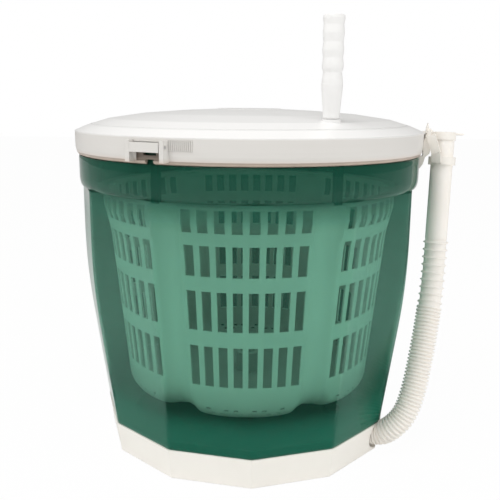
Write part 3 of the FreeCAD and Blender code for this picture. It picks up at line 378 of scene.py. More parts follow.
@dataclass(frozen=True)
class TintedPlastic:
    """Clear tinted plastic: part of it scatters, the rest lets light through with a tint; a belt near the top and
    the foot are painted darker and more opaque as shade.
    """

    name: str
    body: Colour
    deep: Colour
    tint: Colour
    haze: float = 0.03
    haze_swing: float = 0.05
    gloss: float = 0.06
    mirror: float = 0.25
    ripple: float = 0.0002
    soft_edge: float = 0.0006
    edge: float = 0.8
    shine: float = 0.13
    # Painted shade: the belt near the top, under the lid, is darker and more opaque.
    belt: Pair = (0.243, 0.278)
    belt_shade_colour: Colour = (0.010, 0.105, 0.066)
    belt_shade_haze: float = 0.42
    # Painted shade: the foot of the wall, near the floor, is darker and more opaque.
    low: Pair = (0.044, 0.078)
    low_shade_colour: Colour = (0.001, 0.15, 0.09)
    low_shade_haze: float = 0.58
    cloud_scale: float = 9.0
    swell_scale: float = 22.0
    fine_scale: float = 260.0

    def make(self) -> bpy.types.Material:
        """Builds the material.

        Returns:
            The material.
        """
        bench = Bench.of_material(self.name)
        cloud = bench.noise(self.cloud_scale, 3.0)
        swell = bench.noise(self.swell_scale, 2.0)
        fine = bench.noise(self.fine_scale, 3.0)
        height = bench.axis(bench.place(), "Z")
        # Painted shade: belt under the lid, darker and more opaque.
        belt = height.ramp(*self.belt)
        # Painted shade: darker, more opaque foot near the floor.
        foot = 1.0 - height.ramp(*self.low)
        colour = bench.blend(cloud.ramp(0.3, 0.75), self.body, self.deep)
        colour = bench.blend(foot, bench.blend(belt, colour, self.belt_shade_colour), self.low_shade_colour)
        normal = bench.relief(swell * 0.9 + fine * 0.04, self.ripple, self.soft_edge)
        plastic = bench.node("ShaderNodeBsdfPrincipled", inputs={
            "Base Color": colour, "Roughness": self.gloss + fine.ramp(0.5, 0.9) * 0.05, "IOR": 1.5,
            "Specular IOR Level": self.mirror, "Normal": normal})
        clear = bench.node("ShaderNodeBsdfTransparent", inputs={"Color": self.tint})
        rim = bench.node("ShaderNodeLayerWeight", inputs={"Blend": 0.5}, output="Facing")
        # The belt and foot terms make the wall more opaque there: painted shade.
        share = (self.haze + cloud * self.haze_swing + rim ** 3.0 * self.edge
                 + belt * self.belt_shade_haze + foot * self.low_shade_haze)
        wall = bench.mix(share, clear, plastic)
        shine = bench.node("ShaderNodeBsdfPrincipled", inputs={
            "Base Color": WHITE, "Metallic": 1.0, "Roughness": self.gloss, "Normal": normal})
        sheen = bench.node("ShaderNodeLayerWeight", inputs={"Blend": 0.22}, output="Fresnel")
        return bench.finish(bench.mix(sheen * self.shine, wall, shine))


@dataclass(frozen=True)
class TurnedSteel:
    """Bright steel with fine turning lines."""

    name: str
    colour: Colour = (0.62, 0.62, 0.63)
    worn: Colour = (0.45, 0.45, 0.46)
    turning: float = 9000.0

    def make(self) -> bpy.types.Material:
        """Builds the material.

        Returns:
            The material.
        """
        bench = Bench.of_material(self.name)
        height = bench.axis(bench.place(), "Z")
        lines = (height * self.turning + bench.noise(300.0) * 3.0).wave() * 0.5 + 0.5
        wear = bench.noise(180.0, 4.0)
        colour = bench.blend(wear.ramp(0.4, 0.8), self.colour, self.worn)
        shader = bench.node("ShaderNodeBsdfPrincipled", inputs={
            "Base Color": colour, "Metallic": 1.0, "Roughness": 0.24 + wear * 0.18,
            "Normal": bench.relief(lines, 0.00002, 0.0003)})
        return bench.finish(shader)


@dataclass(frozen=True)
class MattRubber:
    """Matt black rubber with a fine pebble."""

    name: str
    colour: Colour = (0.025, 0.025, 0.026)
    dusty: Colour = (0.09, 0.088, 0.084)

    def make(self) -> bpy.types.Material:
        """Builds the material.

        Returns:
            The material.
        """
        bench = Bench.of_material(self.name)
        pebble = bench.noise(1500.0, 3.0)
        dust = bench.noise(70.0, 4.0).ramp(0.5, 0.8)
        shader = bench.node("ShaderNodeBsdfPrincipled", inputs={
            "Base Color": bench.blend(dust * 0.5, self.colour, self.dusty),
            "Roughness": 0.72 + dust * 0.15, "Normal": bench.relief(pebble, 0.0001, 0.0004)})
        return bench.finish(shader)


class Slot(Enum):
    """The record's material slots."""

    GREEN_TUB = "green_tub"
    MILKY_BASKET = "milky_basket"
    WHITE_LID = "white_lid"
    WHITE_GRIP = "white_grip"
    WHITE_BASE = "white_base"
    CREAM_HOSE = "cream_hose"
    CREAM_FITTING = "cream_fitting"
    GREY_PLASTIC = "grey_plastic"
    GEAR_NYLON = "gear_nylon"
    BUSH_NYLON = "bush_nylon"
    STEEL = "steel"
    SEAL_RUBBER = "seal_rubber"


class Body(Enum):
    """The moving bodies that the scene's own pieces ride on."""

    TUB = "tub"
    BASKET = "basket"


class Finishes:
    """The finishes of this machine, by the record's slots."""

    MAKERS = {
        # Tub: painted shade as a darker belt under the lid and a darker foot.
        Slot.GREEN_TUB: TintedPlastic(
            "green_tub_wall", body=(0.022, 0.24, 0.16), deep=(0.014, 0.19, 0.125), tint=(0.66, 0.825, 0.765)),
        # Basket: hollow paints ambient-occlusion shade inside the basket.
        Slot.MILKY_BASKET: MouldedPlastic(
            "milky_basket_plastic", (0.94, 0.93, 0.90), (0.89, 0.90, 0.86), gloss=0.38, coat=0.1, grain=0.00004,
            soft_edge=0.0005, scatter=0.12, glow=0.03, hollow=0.85),
        # Lid: painted shade on the skirt below the crease and on the lower lip; painted shadow and dirt inside the
        # skirt.
        Slot.WHITE_LID: MouldedPlastic(
            "white_lid_plastic", (0.885, 0.88, 0.87), (0.87, 0.865, 0.855), gloss=0.36, coat=0.2, grain=0.00005,
            soft_edge=0.0006, lip_shade_top=0.3095, lip_shade_height=0.0075, skirt=(0.3235, 0.3262),
            recess=(0.1700, 0.1768)),
        Slot.WHITE_GRIP: MouldedPlastic(
            "white_grip_plastic", (0.90, 0.895, 0.885), (0.84, 0.835, 0.825), gloss=0.34, coat=0.2,
            grain=0.00004, soft_edge=0.0006),
        Slot.WHITE_BASE: MouldedPlastic(
            "white_base_plastic", (0.935, 0.905, 0.85), (0.89, 0.86, 0.80), gloss=0.34, coat=0.2, grain=0.00005,
            soft_edge=0.0007),
        Slot.CREAM_HOSE: MouldedPlastic(
            "cream_hose_plastic", (0.955, 0.91, 0.85), (0.90, 0.85, 0.78), gloss=0.42, coat=0.08, grain=0.00004,
            soft_edge=0.0003, scatter=0.12, glow=0.02),
        Slot.CREAM_FITTING: MouldedPlastic(
            "cream_fitting_plastic", (0.93, 0.89, 0.83), (0.87, 0.82, 0.75), gloss=0.4, coat=0.1, grain=0.00005,
            soft_edge=0.0003, scatter=0.05),
        # Painted shade: the grey drive plastic gets the dark green it shows in shade behind the green tub wall.
        Slot.GREY_PLASTIC: MouldedPlastic(
            "shaded_drive_plastic", (0.035, 0.10, 0.085), (0.02, 0.06, 0.05), gloss=0.45, coat=0.05),
        Slot.GEAR_NYLON: MouldedPlastic(
            "gear_nylon_plastic", (0.78, 0.75, 0.67), (0.68, 0.64, 0.56), gloss=0.42, coat=0.05),
        Slot.BUSH_NYLON: MouldedPlastic(
            "bush_nylon_plastic", (0.75, 0.73, 0.68), (0.66, 0.63, 0.57), gloss=0.4, coat=0.05),
        Slot.STEEL: TurnedSteel("turned_steel"),
        Slot.SEAL_RUBBER: MattRubber("matt_rubber"),
    }

    def __init__(self) -> None:
        """Makes every finish once."""
        self.by_slot = {slot: maker.make() for slot, maker in self.MAKERS.items()}

    def dress(self, thing: bpy.types.Object, slot: Slot) -> None:
        """Gives an object one finish.

        Args:
            thing: Mesh object.
            slot: The record's slot.
        """
        thing.data.materials.clear()
        thing.data.materials.append(self.by_slot[slot])

    def seat(self, thing: bpy.types.Object, slot: Slot, body: Body, node: str) -> None:
        """Dresses one of the scene's own pieces and puts it in the place of a construction node.

        Args:
            thing: Mesh object.
            slot: The record's slot.
            body: Body that it rides on.
            node: Node that it replaces.
        """
        self.dress(thing, slot)
        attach(thing, body.value)
        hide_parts(node)


# ---- mesh tools
def as_object(name: str, points: Sequence[Sequence[float]], faces: Sequence[Sequence[int]],
              smooth_angle: float = 32.0) -> bpy.types.Object:
    """Makes a closed mesh object with smooth faces and crisp edges.

    Args:
        name: Object name.
        points: Corner positions in metres.
        faces: Corner numbers of each face.
        smooth_angle: Edges that bend more than this, in degrees, stay crisp.

    Returns:
        The object, linked to the scene.
    """
    mesh = bpy.data.meshes.new(name)
    mesh.from_pydata([tuple(point) for point in points], [], [tuple(face) for face in faces])
    made = bmesh.new()
    made.from_mesh(mesh)
    bmesh.ops.remove_doubles(made, verts=made.verts, dist=SAME_SPOT)
    bmesh.ops.recalc_face_normals(made, faces=made.faces)
    made.to_mesh(mesh)
    made.free()
    crisp(mesh, smooth_angle)
    thing = bpy.data.objects.new(name, mesh)
    bpy.context.scene.collection.objects.link(thing)
    return thing


def crisp(mesh: bpy.types.Mesh, smooth_angle: float) -> None:
    """Shades a mesh smooth and marks its sharp edges.

    Args:
        mesh: Mesh to shade.
        smooth_angle: Edges that bend more than this, in degrees, stay crisp.
    """
    made = bmesh.new()
    made.from_mesh(mesh)
    limit = math.radians(smooth_angle)
    for edge in made.edges:
        if len(edge.link_faces) == 2:
            edge.smooth = edge.calc_face_angle(0.0) < limit
    for face in made.faces:
        face.smooth = True
    made.to_mesh(mesh)
    made.free()


def stitched(rings: Sequence[Sequence[Vector]], closed: bool = True) -> tuple[list[Vector], list[Face]]:
    """Joins rings of equal count into a skin.

    Args:
        rings: Closed rings of points, in order.
        closed: True joins the last ring back to the first; False caps both ends.

    Returns:
        Points and faces.
    """
    count = len(rings[0])
    points = [point for ring in rings for point in ring]
    faces: list[Face] = []
    for row in range(len(rings) if closed else len(rings) - 1):
        low = row * count
        high = ((row + 1) % len(rings)) * count
        for index in range(count):
            after = (index + 1) % count
            faces.append((low + index, low + after, high + after, high + index))
    if not closed:
        faces.append(tuple(range(count)))
        faces.append(tuple(range(len(points) - count, len(points))))
    return points, faces


def lathe(profile: Sequence[Pair], sides: int) -> list[list[Vector]]:
    """Rings of a piece that is turned about the upright axis.

    Args:
        profile: Radius and height of each ring, in millimetres.
        sides: Points round a ring.

    Returns:
        One ring of points per profile entry, in metres.
    """
    turns = [2 * math.pi * index / sides for index in range(sides)]
    return [[Vector((radius * math.cos(turn), radius * math.sin(turn), height)) * MM for turn in turns]
            for radius, height in profile]


def outward(azimuth: float) -> Vector:
    """Level direction at an azimuth from the front, in degrees."""
    turn = math.radians(azimuth)
    return Vector((math.sin(turn), -math.cos(turn), 0.0))


# ---- studio
@dataclass(frozen=True)
class Lamp:
    """One soft rectangular lamp: sizes in metres, power in watts."""

    name: str
    spot: Spot
    size: Pair
    power: float
    mirrored: bool = False
    aim: Spot = (0.0, 0.0, 0.2)

    def light(self) -> None:
        """Adds the lamp; glossy surfaces show it only where it is mirrored."""
        light = bpy.data.lights.new(self.name, "AREA")
        light.shape = "RECTANGLE"
        light.size, light.size_y = self.size
        light.energy = self.power
        lamp = bpy.data.objects.new(self.name, light)
        lamp.visible_glossy = self.mirrored
        lamp.location = self.spot
        lamp.rotation_euler = (Vector(self.aim) - Vector(self.spot)).to_track_quat("-Z", "Y").to_euler()
        bpy.context.scene.collection.objects.link(lamp)


class Rays:
    """Kinds of rays, as masks in a studio surface's node tree."""

    def __init__(self, bench: Bench) -> None:
        """Reads the light path."""
        seen = bench.add("ShaderNodeLightPath")
        camera = Wire(bench, seen.outputs["Is Camera Ray"])
        direct = Wire(bench, seen.outputs["Transparent Depth"]) < 1.0
        self.glossy = Wire(bench, seen.outputs["Is Glossy Ray"])
        self.through_tub = camera * (1.0 - direct)
        self.clear = camera * direct + Wire(bench, seen.outputs["Is Transmission Ray"])


@dataclass
class Studio:
    """Pale floor, soft lamps and the photograph's view, in millimetres, degrees and picture points."""

    distance: float = 737.33
    height: float = 355.95
    tilt: float = 12.223
    azimuth: float = -1.66
    roll: float = 0.435
    focal: float = 693.02
    centre_x: float = 248.53
    picture: float = 500.0
    film: float = 36.0
    floor_half: float = 6.0
    lamps: tuple[Lamp, ...] = (
        Lamp("high_softbox", (-0.35, -0.55, 1.55), (1.3, 1.1), 13.2, mirrored=True),
        Lamp("left_panel", (-1.5, -0.9, 0.75), (0.9, 1.1), 5.0),
        Lamp("right_strip", (1.25, -0.75, 0.55), (0.5, 0.9), 5.6))

    def camera(self) -> None:
        """Makes the camera and sets it as the scene's."""
        turn, tilt, roll = (math.radians(value) for value in (-self.azimuth, self.tilt, self.roll))
        spot = Vector((-self.distance * math.sin(turn), -self.distance * math.cos(turn), self.height)) * MM
        forward = Vector((math.cos(tilt) * math.sin(turn), math.cos(tilt) * math.cos(turn), -math.sin(tilt)))
        up = Vector((math.sin(tilt) * math.sin(turn), math.sin(tilt) * math.cos(turn), math.cos(tilt)))
        right = Vector((math.cos(turn), -math.sin(turn), 0.0))
        level = right * math.cos(roll) + up * math.sin(roll)
        upright = up * math.cos(roll) - right * math.sin(roll)
        frame_of = Matrix((level, upright, -forward)).transposed().to_4x4()
        frame_of.translation = spot
        lens = bpy.data.cameras.new("photo_view")
        lens.sensor_width = self.film
        lens.lens = self.film * self.focal / self.picture
        lens.shift_x = (self.picture / 2 - self.centre_x) / self.picture
        lens.clip_start = 0.01
        viewer = bpy.data.objects.new("photo_view", lens)
        viewer.matrix_world = frame_of
        bpy.context.scene.collection.objects.link(viewer)
        bpy.context.scene.camera = viewer

    def floor(self) -> None:
        """Adds a wide white floor that keeps the machine's shadow, dimmer where the tub is in front of it."""
        bench = Bench.of_material("white_floor")
        rays = Rays(bench)
        colour = bench.blend(bench.noise(3.0), (0.93, 0.93, 0.93), (0.90, 0.90, 0.90))
        matt = bench.node("ShaderNodeBsdfDiffuse", inputs={"Color": colour})
        white = bench.node("ShaderNodeEmission", inputs={"Color": WHITE, "Strength": 1.0})
        dim = bench.node("ShaderNodeEmission", inputs={"Color": ROOM_WHITE, "Strength": 0.08})
        through = bench.mix(rays.through_tub * 0.95, matt, dim)
        surface = bench.finish(bench.mix(rays.clear * 0.97 + rays.glossy * 0.12, through, white))
        half = self.floor_half
        ground = as_object("floor", [(-half, -half, 0), (half, -half, 0), (half, half, 0), (-half, half, 0)],
                           [(0, 1, 2, 3)])
        ground.data.materials.append(surface)

    def sky(self) -> None:
        """Fills the room with even light, white behind the machine, dimmer where the tub is in front."""
        world = bpy.data.worlds.new("studio_room")
        bpy.context.scene.world = world
        bench = Bench(world)
        rays = Rays(bench)
        even = bench.node("ShaderNodeBackground", inputs={"Color": ROOM_WHITE, "Strength": 0.5})
        dim = bench.node("ShaderNodeBackground", inputs={"Color": ROOM_WHITE, "Strength": 0.10})
        white = bench.node("ShaderNodeBackground", inputs={"Color": WHITE, "Strength": 1.0})
        room = bench.mix(rays.through_tub + rays.glossy * 0.7, even, dim)
        mixed = bench.mix(rays.clear + rays.glossy * 0.10, room, white)
        bench.add("ShaderNodeOutputWorld", inputs={"Surface": mixed})

    def build(self) -> None:
        """Sets up the whole studio."""
        bpy.context.scene.view_settings.view_transform = "Standard"
        self.camera()
        self.floor()
        self.sky()
        for lamp in self.lamps:
            lamp.light()
        LOG.info("studio: %d lamps", len(self.lamps))


# ---- hose
@dataclass
class DrainHose:
    """Ribbed hose from the base's outlet up to the smooth pipe beside the lid."""

    crest: float = 12.6
    valley: float = 10.7
    bore: float = 9.5
    fine_pitch: float = 3.65
    wide_pitch: float = 7.9
    wide_ribs: int = 9
    cuff: float = 5.0
    sides: int = 56
    outlet_azimuth: float = 60.0
    nozzle_face: float = 120.0
    outlet_height: float = 17.0
    level_run: float = 33.4
    bends: tuple[Spot, ...] = ((144.6, -85.4, 27.2), (158.2, -85.9, 42.6), (167.2, -79.9, 65.4),
                               (175.2, -70.2, 97.2), (183.6, -57.4, 134.0))
    straight_run: float = 46.0
    pipe_way: Spot = (0.0414, 0.0999, 0.9941)
    pipe_foot: Spot = (193.5, -36.6, 216.7)
    length: float = 256.6
    inner_depth: float = 0.75
    fine_rib: tuple[Pair, ...] = ((0.0, 0.0), (0.1, 0.06), (0.2, 0.55), (0.3, 0.93), (0.42, 1.0), (0.58, 1.0),
                                  (0.7, 0.93), (0.8, 0.55), (0.9, 0.06))
    wide_rib: tuple[Pair, ...] = ((0.0, 0.0), (0.26, 0.02), (0.36, 0.16), (0.43, 0.72), (0.48, 0.97),
                                  (0.52, 1.0), (0.56, 0.97), (0.61, 0.72), (0.68, 0.16), (0.78, 0.02))

    def route(self) -> list[Vector]:
        """Points of the hose's route, in millimetres.

        Returns:
            The points, from the nozzle to the foot of the pipe.
        """
        away = outward(self.outlet_azimuth)
        start = away * self.nozzle_face + Vector((0, 0, self.outlet_height))
        up = Vector(self.pipe_way).normalized()
        foot = Vector(self.pipe_foot)
        middle = [Vector(bend) for bend in self.bends]
        return [start, start + away * self.level_run, *middle, foot - up * self.straight_run, foot]

    def spline_points(self) -> list[Vector]:
        """Points of a smooth spline through the route.

        Returns:
            Points in metres, close together.
        """
        curve = bpy.data.curves.new("hose_line", "CURVE")
        curve.dimensions = "3D"
        curve.resolution_u = 40
        spline = curve.splines.new("NURBS")
        route = self.route()
        spline.points.add(len(route) - 1)
        for point, spot in zip(spline.points, route):
            point.co = (*(spot * MM), 1.0)
        spline.order_u = 3
        spline.use_endpoint_u = True
        holder = bpy.data.objects.new("hose_line", curve)
        bpy.context.scene.collection.objects.link(holder)
        bpy.context.view_layer.update()
        mesh = bpy.data.meshes.new_from_object(holder)
        points = [vertex.co.copy() for vertex in mesh.vertices]
        bpy.data.objects.remove(holder)
        bpy.data.meshes.remove(mesh)
        return points

    def measured(self, points: Sequence[Vector]) -> tuple[float, Callable[[float], tuple[Vector, Vector]]]:
        """Measures the line and hands back a way to walk along it.

        Args:
            points: Points of the line in metres.

        Returns:
            The line's length in metres, and a function from a distance to a spot and direction.
        """
        reach = [0.0]
        for before, after in zip(points, points[1:]):
            reach.append(reach[-1] + (after - before).length)

        def walk(distance: float) -> tuple[Vector, Vector]:
            """Spot and direction at a distance along the line.

            Args:
                distance: Distance from the start, in metres.

            Returns:
                The spot and the direction.
            """
            distance = min(max(distance, 0.0), reach[-1])
            index = max(1, next((i for i, value in enumerate(reach) if value >= distance), len(reach) - 1))
            share = (distance - reach[index - 1]) / max(1e-9, reach[index] - reach[index - 1])
            ahead = points[min(len(points) - 1, index + 1)] - points[max(0, index - 2)]
            return points[index - 1].lerp(points[index], share), ahead.normalized()

        return reach[-1], walk

    def outline(self, total: float) -> list[tuple[float, float]]:
        """Radius of the ribbed skin along the hose.

        Args:
            total: Length of the line, in millimetres.

        Returns:
            Distance and radius pairs, in millimetres.
        """
        deep = self.crest - self.valley
        wide_from = total - self.wide_ribs * self.wide_pitch
        fine_ribs = int((wide_from - self.cuff) / self.fine_pitch)
        pitch = (wide_from - self.cuff) / fine_ribs
        found = [(0.0, self.valley)]
        for start, count, step, rib in ((self.cuff, fine_ribs, pitch, self.fine_rib),
                                        (wide_from, self.wide_ribs, self.wide_pitch, self.wide_rib)):
            found += [(start + (index + at) * step, self.valley + deep * out) for index in range(count)
                      for at, out in rib]
        return found + [(total, self.valley)]

    def build(self, finishes: Finishes) -> bpy.types.Object:
        """Args:
            finishes: The machine's finishes.

        Returns:
            The hose.
        """
        points = self.spline_points()
        reach, walk = self.measured(points)
        steady = outward(self.outlet_azimuth + 90)
        skin = self.outline(reach / MM)
        back = [(at, self.bore + (radius - self.valley) * self.inner_depth)
                for at, radius in reversed(skin[1:-1])]
        loop = skin + [(reach / MM, self.bore)] + back + [(0.0, self.bore)]
        turns = [2 * math.pi * index / self.sides for index in range(self.sides)]
        rings = []
        for at, radius in loop:
            spot, ahead = walk(at * MM)
            level = (steady - ahead * steady.dot(ahead)).normalized()
            other = ahead.cross(level)
            rings.append([spot + (level * math.cos(turn) + other * math.sin(turn)) * radius * MM
                          for turn in turns])
        hose = as_object("ribbed_hose", *stitched(rings), smooth_angle=50)
        finishes.seat(hose, Slot.CREAM_HOSE, Body.TUB, "drain_hose")
        LOG.info("hose: %.1f mm along its line", reach / MM)
        return hose


# ---- tub
@dataclass
class Tub:
    """Twelve-sided tinted tub: flat sides with rounded corners under a round band."""

    corner_radius: float = 175.6
    mid_radius: float = 169.5
    foot_radius: float = 155.2
    straight_from: float = 225.0
    curve_to: float = 135.0
    curve: float = 690.0
    wall: float = 2.5
    floor_top: float = 36.5
    foot: float = 31.6
    band: float = 175.0
    band_bottom: float = 271.0
    shoulder: float = 302.0
    rim_top: float = 316.0
    step_in: float = 3.5
    corner_round: float = 9.0
    corner_steps: int = 8
    row_height: float = 6.0
    band_skin: tuple[Pair, ...] = ((-3.2, 0.0), (-2.4, 0.5), (-1.5, 1.6), (-0.8, 3.4), (-0.4, 5.5), (-0.1, 8.0),
                                   (0.0, 11.0), (0.0, 20.0), (0.0, 28.5), (-0.4, 30.4), (-1.0, 31.0))

    def flat_at(self, height: float) -> float:
        """Distance from the axis to a side at a height.

        Args:
            height: Height in millimetres.

        Returns:
            The distance in millimetres.
        """
        share = math.cos(math.radians(SECTOR / 2))
        top, middle, low = (radius * share
                            for radius in (self.corner_radius, self.mid_radius, self.foot_radius))
        if height >= self.straight_from:
            return top
        if height <= self.curve_to:
            return low + (middle - low) * (height - self.foot) / (self.curve_to - self.foot)
        chord = Vector((middle - top, self.curve_to - self.straight_from))
        half = chord.length / 2
        centre = Vector(((middle + top) / 2, (self.curve_to + self.straight_from) / 2))
        inward = Vector((-1, 0)) if abs(chord.x) < 1e-9 else Vector((chord.y, -chord.x)).normalized()
        centre += inward * math.sqrt(self.curve ** 2 - half ** 2)
        return centre.x + math.sqrt(max(0.0, self.curve ** 2 - (height - centre.y) ** 2))

    def ring(self, size: float, height: float, roundness: float) -> list[Vector]:
        """Outline of the tub at a height.

        Args:
            size: Distance to a side, or the radius where the outline is round.
            height: Height in millimetres.
            roundness: 0 gives the twelve-sided outline, 1 a circle.

        Returns:
            Points in metres.
        """
        if roundness >= 1:
            return [Vector((*(Vector((point.x, point.y)).normalized() * size * MM), height * MM))
                    for point in self.ring(self.band, height, 0.0)]
        inner = (size - self.corner_round) / math.cos(math.radians(SECTOR / 2))
        points = []
        for corner in range(TUB_SIDES):
            first = SECTOR * corner - SECTOR / 2
            middle = outward(SECTOR * corner) * inner
            arc = [middle + outward(first + SECTOR * step / self.corner_steps) * self.corner_round
                   for step in range(self.corner_steps + 1)]
            following = outward(SECTOR * (corner + 1)) * inner + outward(first + SECTOR) * self.corner_round
            points += arc + [arc[-1].lerp(following, step / (self.corner_steps + 1))
                             for step in range(1, self.corner_steps + 1)]
        return [Vector((point.x * MM, point.y * MM, height * MM)) for point in points]

    def build(self, finishes: Finishes) -> bpy.types.Object:
        """Makes the tub.

        Args:
            finishes: The machine's finishes.

        Returns:
            The tub.
        """
        rows = [self.foot, self.foot + 1.2] + [self.foot + 4 + self.row_height * step for step in range(40)]
        heights = [value for value in rows if value < self.band_bottom - 2] + [self.band_bottom]
        rings = [self.ring(self.flat_at(value) - (0.5 if index == 0 else 0.0), value, 0.0)
                 for index, value in enumerate(heights)]
        rings += [self.ring(self.band + out, self.band_bottom + up, 1.0) for out, up in self.band_skin]
        rings += [self.ring(self.band - self.step_in + out, height, 1.0) for out, height in (
            (0.5, self.shoulder), (0.0, self.shoulder + 0.5), (0.0, self.rim_top - 0.4), (-0.5, self.rim_top),
            (-2.3, self.rim_top), (-2.8, self.rim_top - 0.4), (-2.8, self.shoulder - 1.5), (0.2, self.shoulder - 5),
            (0.5, self.shoulder - 8), (0.5, self.band_bottom + 5), (0.0, self.band_bottom + 3.4))]
        inner = [value for value in reversed(heights[:-1]) if value > self.floor_top + 3]
        rings.append(self.ring(self.flat_at(self.band_bottom) - self.wall, self.band_bottom + 3.0, 0.0))
        rings += [self.ring(self.flat_at(value) - self.wall, value, 0.0) for value in inner]
        floor_half = self.flat_at(self.floor_top) - self.wall
        rings += [self.ring(floor_half - 1.5, self.floor_top + 1.0, 0.0),
                  self.ring(floor_half - 5.0, self.floor_top, 0.0)]
        cup = as_object("tub_wall", *stitched(rings, closed=False), smooth_angle=38)
        finishes.seat(cup, Slot.GREEN_TUB, Body.TUB, "tub_shell")
        LOG.info("tub: %d rings", len(rings))
        return cup


# ---- basket
@dataclass
class Basket:
    """Milky basket: six slotted panels with rounded feet, and a hollow flute between each pair."""

    panels: int = 6
    turn: float = -2.5
    wall: float = 2.0
    floor: float = 58.0
    floor_thick: float = 2.5
    top: float = 266.5
    hub_radius: float = 13.0
    hub_bore: float = 8.1
    hub_foot: float = 49.8
    hub_top: float = 82.0
    hub_sides: int = 48
    flute_radius: float = 21.8
    flute_low: float = 146.4
    flute_slope: float = 0.0974
    flute_from: float = 70.0
    flute_soft: float = 1.6
    flute_columns: tuple[float, ...] = (0.0, 0.06, 0.12, 0.2, 0.3, 0.4, 0.5, 0.6, 0.7, 0.8, 0.88, 0.94)
    panel_edge: float = 23.8
    crease: float = 5.5
    crease_width: float = 1.5
    foot_steps: int = 8
    floor_shares: tuple[float, ...] = (0.0, 0.3, 0.6, 0.85)
    slots: int = 8
    slot_step: float = 5.9
    slot_half: float = 1.8
    rows: tuple[Pair, ...] = ((92.5, 133.0), (148.5, 187.0), (201.0, 230.0), (242.0, 262.5))
    wall_from: float = 88.5
    between: tuple[float, ...] = (106.0, 119.0, 141.0, 161.0, 174.0, 194.0, 211.0, 221.0, 236.0, 250.0, 257.0)
    outline: tuple[Pair, ...] = ((58.0, 129.4), (77.0, 130.9), (135.0, 136.6), (224.0, 145.6), (244.0, 150.0),
                                 (250.0, 152.0), (270.0, 152.0))

    @property
    def sector(self) -> float:
        """Angle of one panel and flute, in degrees."""
        return 360 / self.panels

    def wall_at(self, height: float) -> float:
        """Radius of a panel at a height.

        Args:
            height: Height in millimetres.

        Returns:
            The radius in millimetres.
        """
        for (low, first), (high, second) in zip(self.outline, self.outline[1:]):
            if height <= high:
                return first + (second - first) * max(0.0, height - low) / (high - low)
        return self.outline[-1][1]

    def skin_at(self, angle: float, height: float, inset: float) -> float:
        """Radius of the wall's skin, flutes included.

        Args:
            angle: Angle from the nearest panel's middle, in degrees.
            height: Height in millimetres.
            inset: 0 for the outside, the wall's thickness for the inside.

        Returns:
            The radius in millimetres.
        """
        plain = self.wall_at(height) - inset
        away = math.radians(self.sector / 2 - abs(angle))
        centre = self.flute_low + self.flute_slope * (height - self.flute_from)
        rod = self.flute_radius + inset
        reach = rod ** 2 - (centre * math.sin(away)) ** 2
        if reach <= 0:
            return plain
        scoop = centre * math.cos(away) - math.sqrt(reach)
        mix = max(0.0, min(1.0, 0.5 + 0.5 * (plain - scoop) / self.flute_soft))
        return plain * (1 - mix) + scoop * mix - self.flute_soft * mix * (1 - mix) * 0.5

    def foot_round(self, angle: float) -> float:
        """Radius of the rounding between wall and floor: small under a panel, larger at its sides and flutes.

        Args:
            angle: Angle from the nearest panel's middle, in degrees.

        Returns:
            The radius in millimetres.
        """
        side = abs(angle) / self.panel_edge
        fluted = max(0.0, math.sin((side - 1) / 0.26 * math.pi / 2)) if side > 1 else 0.0
        return 11.0 + 9.0 * min(1.0, side) ** 5 + 5.0 * fluted

    def heights(self) -> list[float]:
        """Heights of the wall's rows of faces above the rounded foot.

        Returns:
            The heights in millimetres, upwards.
        """
        marks = {self.top, self.wall_from, *self.between}
        for bottom, top in self.rows:
            marks |= {bottom, top, bottom + 0.8, top - 0.8, bottom - 0.8, min(self.top, top + 0.8)}
        return sorted(marks)

    def column(self, angle: float, inner: bool) -> list[tuple[float, float]]:
        """Profile at one angle, from the hub out and up to the rim.

        Args:
            angle: Angle from the nearest panel's middle, in degrees.
            inner: True for the inside skin.

        Returns:
            Radius and height of each point, in millimetres.
        """
        inset = self.wall if inner else 0.0
        ground = self.floor + (self.floor_thick if inner else 0.0)
        bend = self.foot_round(angle) - inset
        start = self.hub_radius - 0.4
        edge = self.skin_at(angle, ground + bend, inset) - bend
        crease = self.crease * math.exp(-((abs(angle) - self.panel_edge) / self.crease_width) ** 2)
        points = [(start + (edge - start) * share, ground) for share in self.floor_shares]
        for step in range(self.foot_steps + 1):
            share = step / self.foot_steps
            swing = math.pi / 2 * share
            height = ground + bend * (1 - math.cos(swing))
            pull = crease * (1 - share) ** 0.5
            points.append((self.skin_at(angle, height, inset) - bend * (1 - math.sin(swing)) - pull, height))
        for height in self.heights():
            level = height if height > self.wall_from else max(height, ground + bend + 1.0)
            points.append((self.skin_at(angle, height, inset), level))
        return points

    def columns(self) -> list[tuple[float, float, bool]]:
        """Columns round the basket, panel by panel.

        Returns:
            Azimuth of each column, its angle from the nearest panel's middle, and whether a slot starts there.
        """
        angles: list[tuple[float, bool]] = []
        for number in range(self.slots):
            centre = (number - (self.slots - 1) / 2) * self.slot_step
            angles += [(centre - self.slot_half, True), (centre, True), (centre + self.slot_half, False)]
        flute = self.sector - 2 * self.panel_edge
        angles += [(self.panel_edge + share * flute, False) for share in self.flute_columns]
        angles.append((self.sector - self.panel_edge, False))
        half = self.sector / 2
        return [(self.sector * panel + angle + self.turn, angle if angle <= half else angle - self.sector, slot)
                for panel in range(self.panels) for angle, slot in angles]

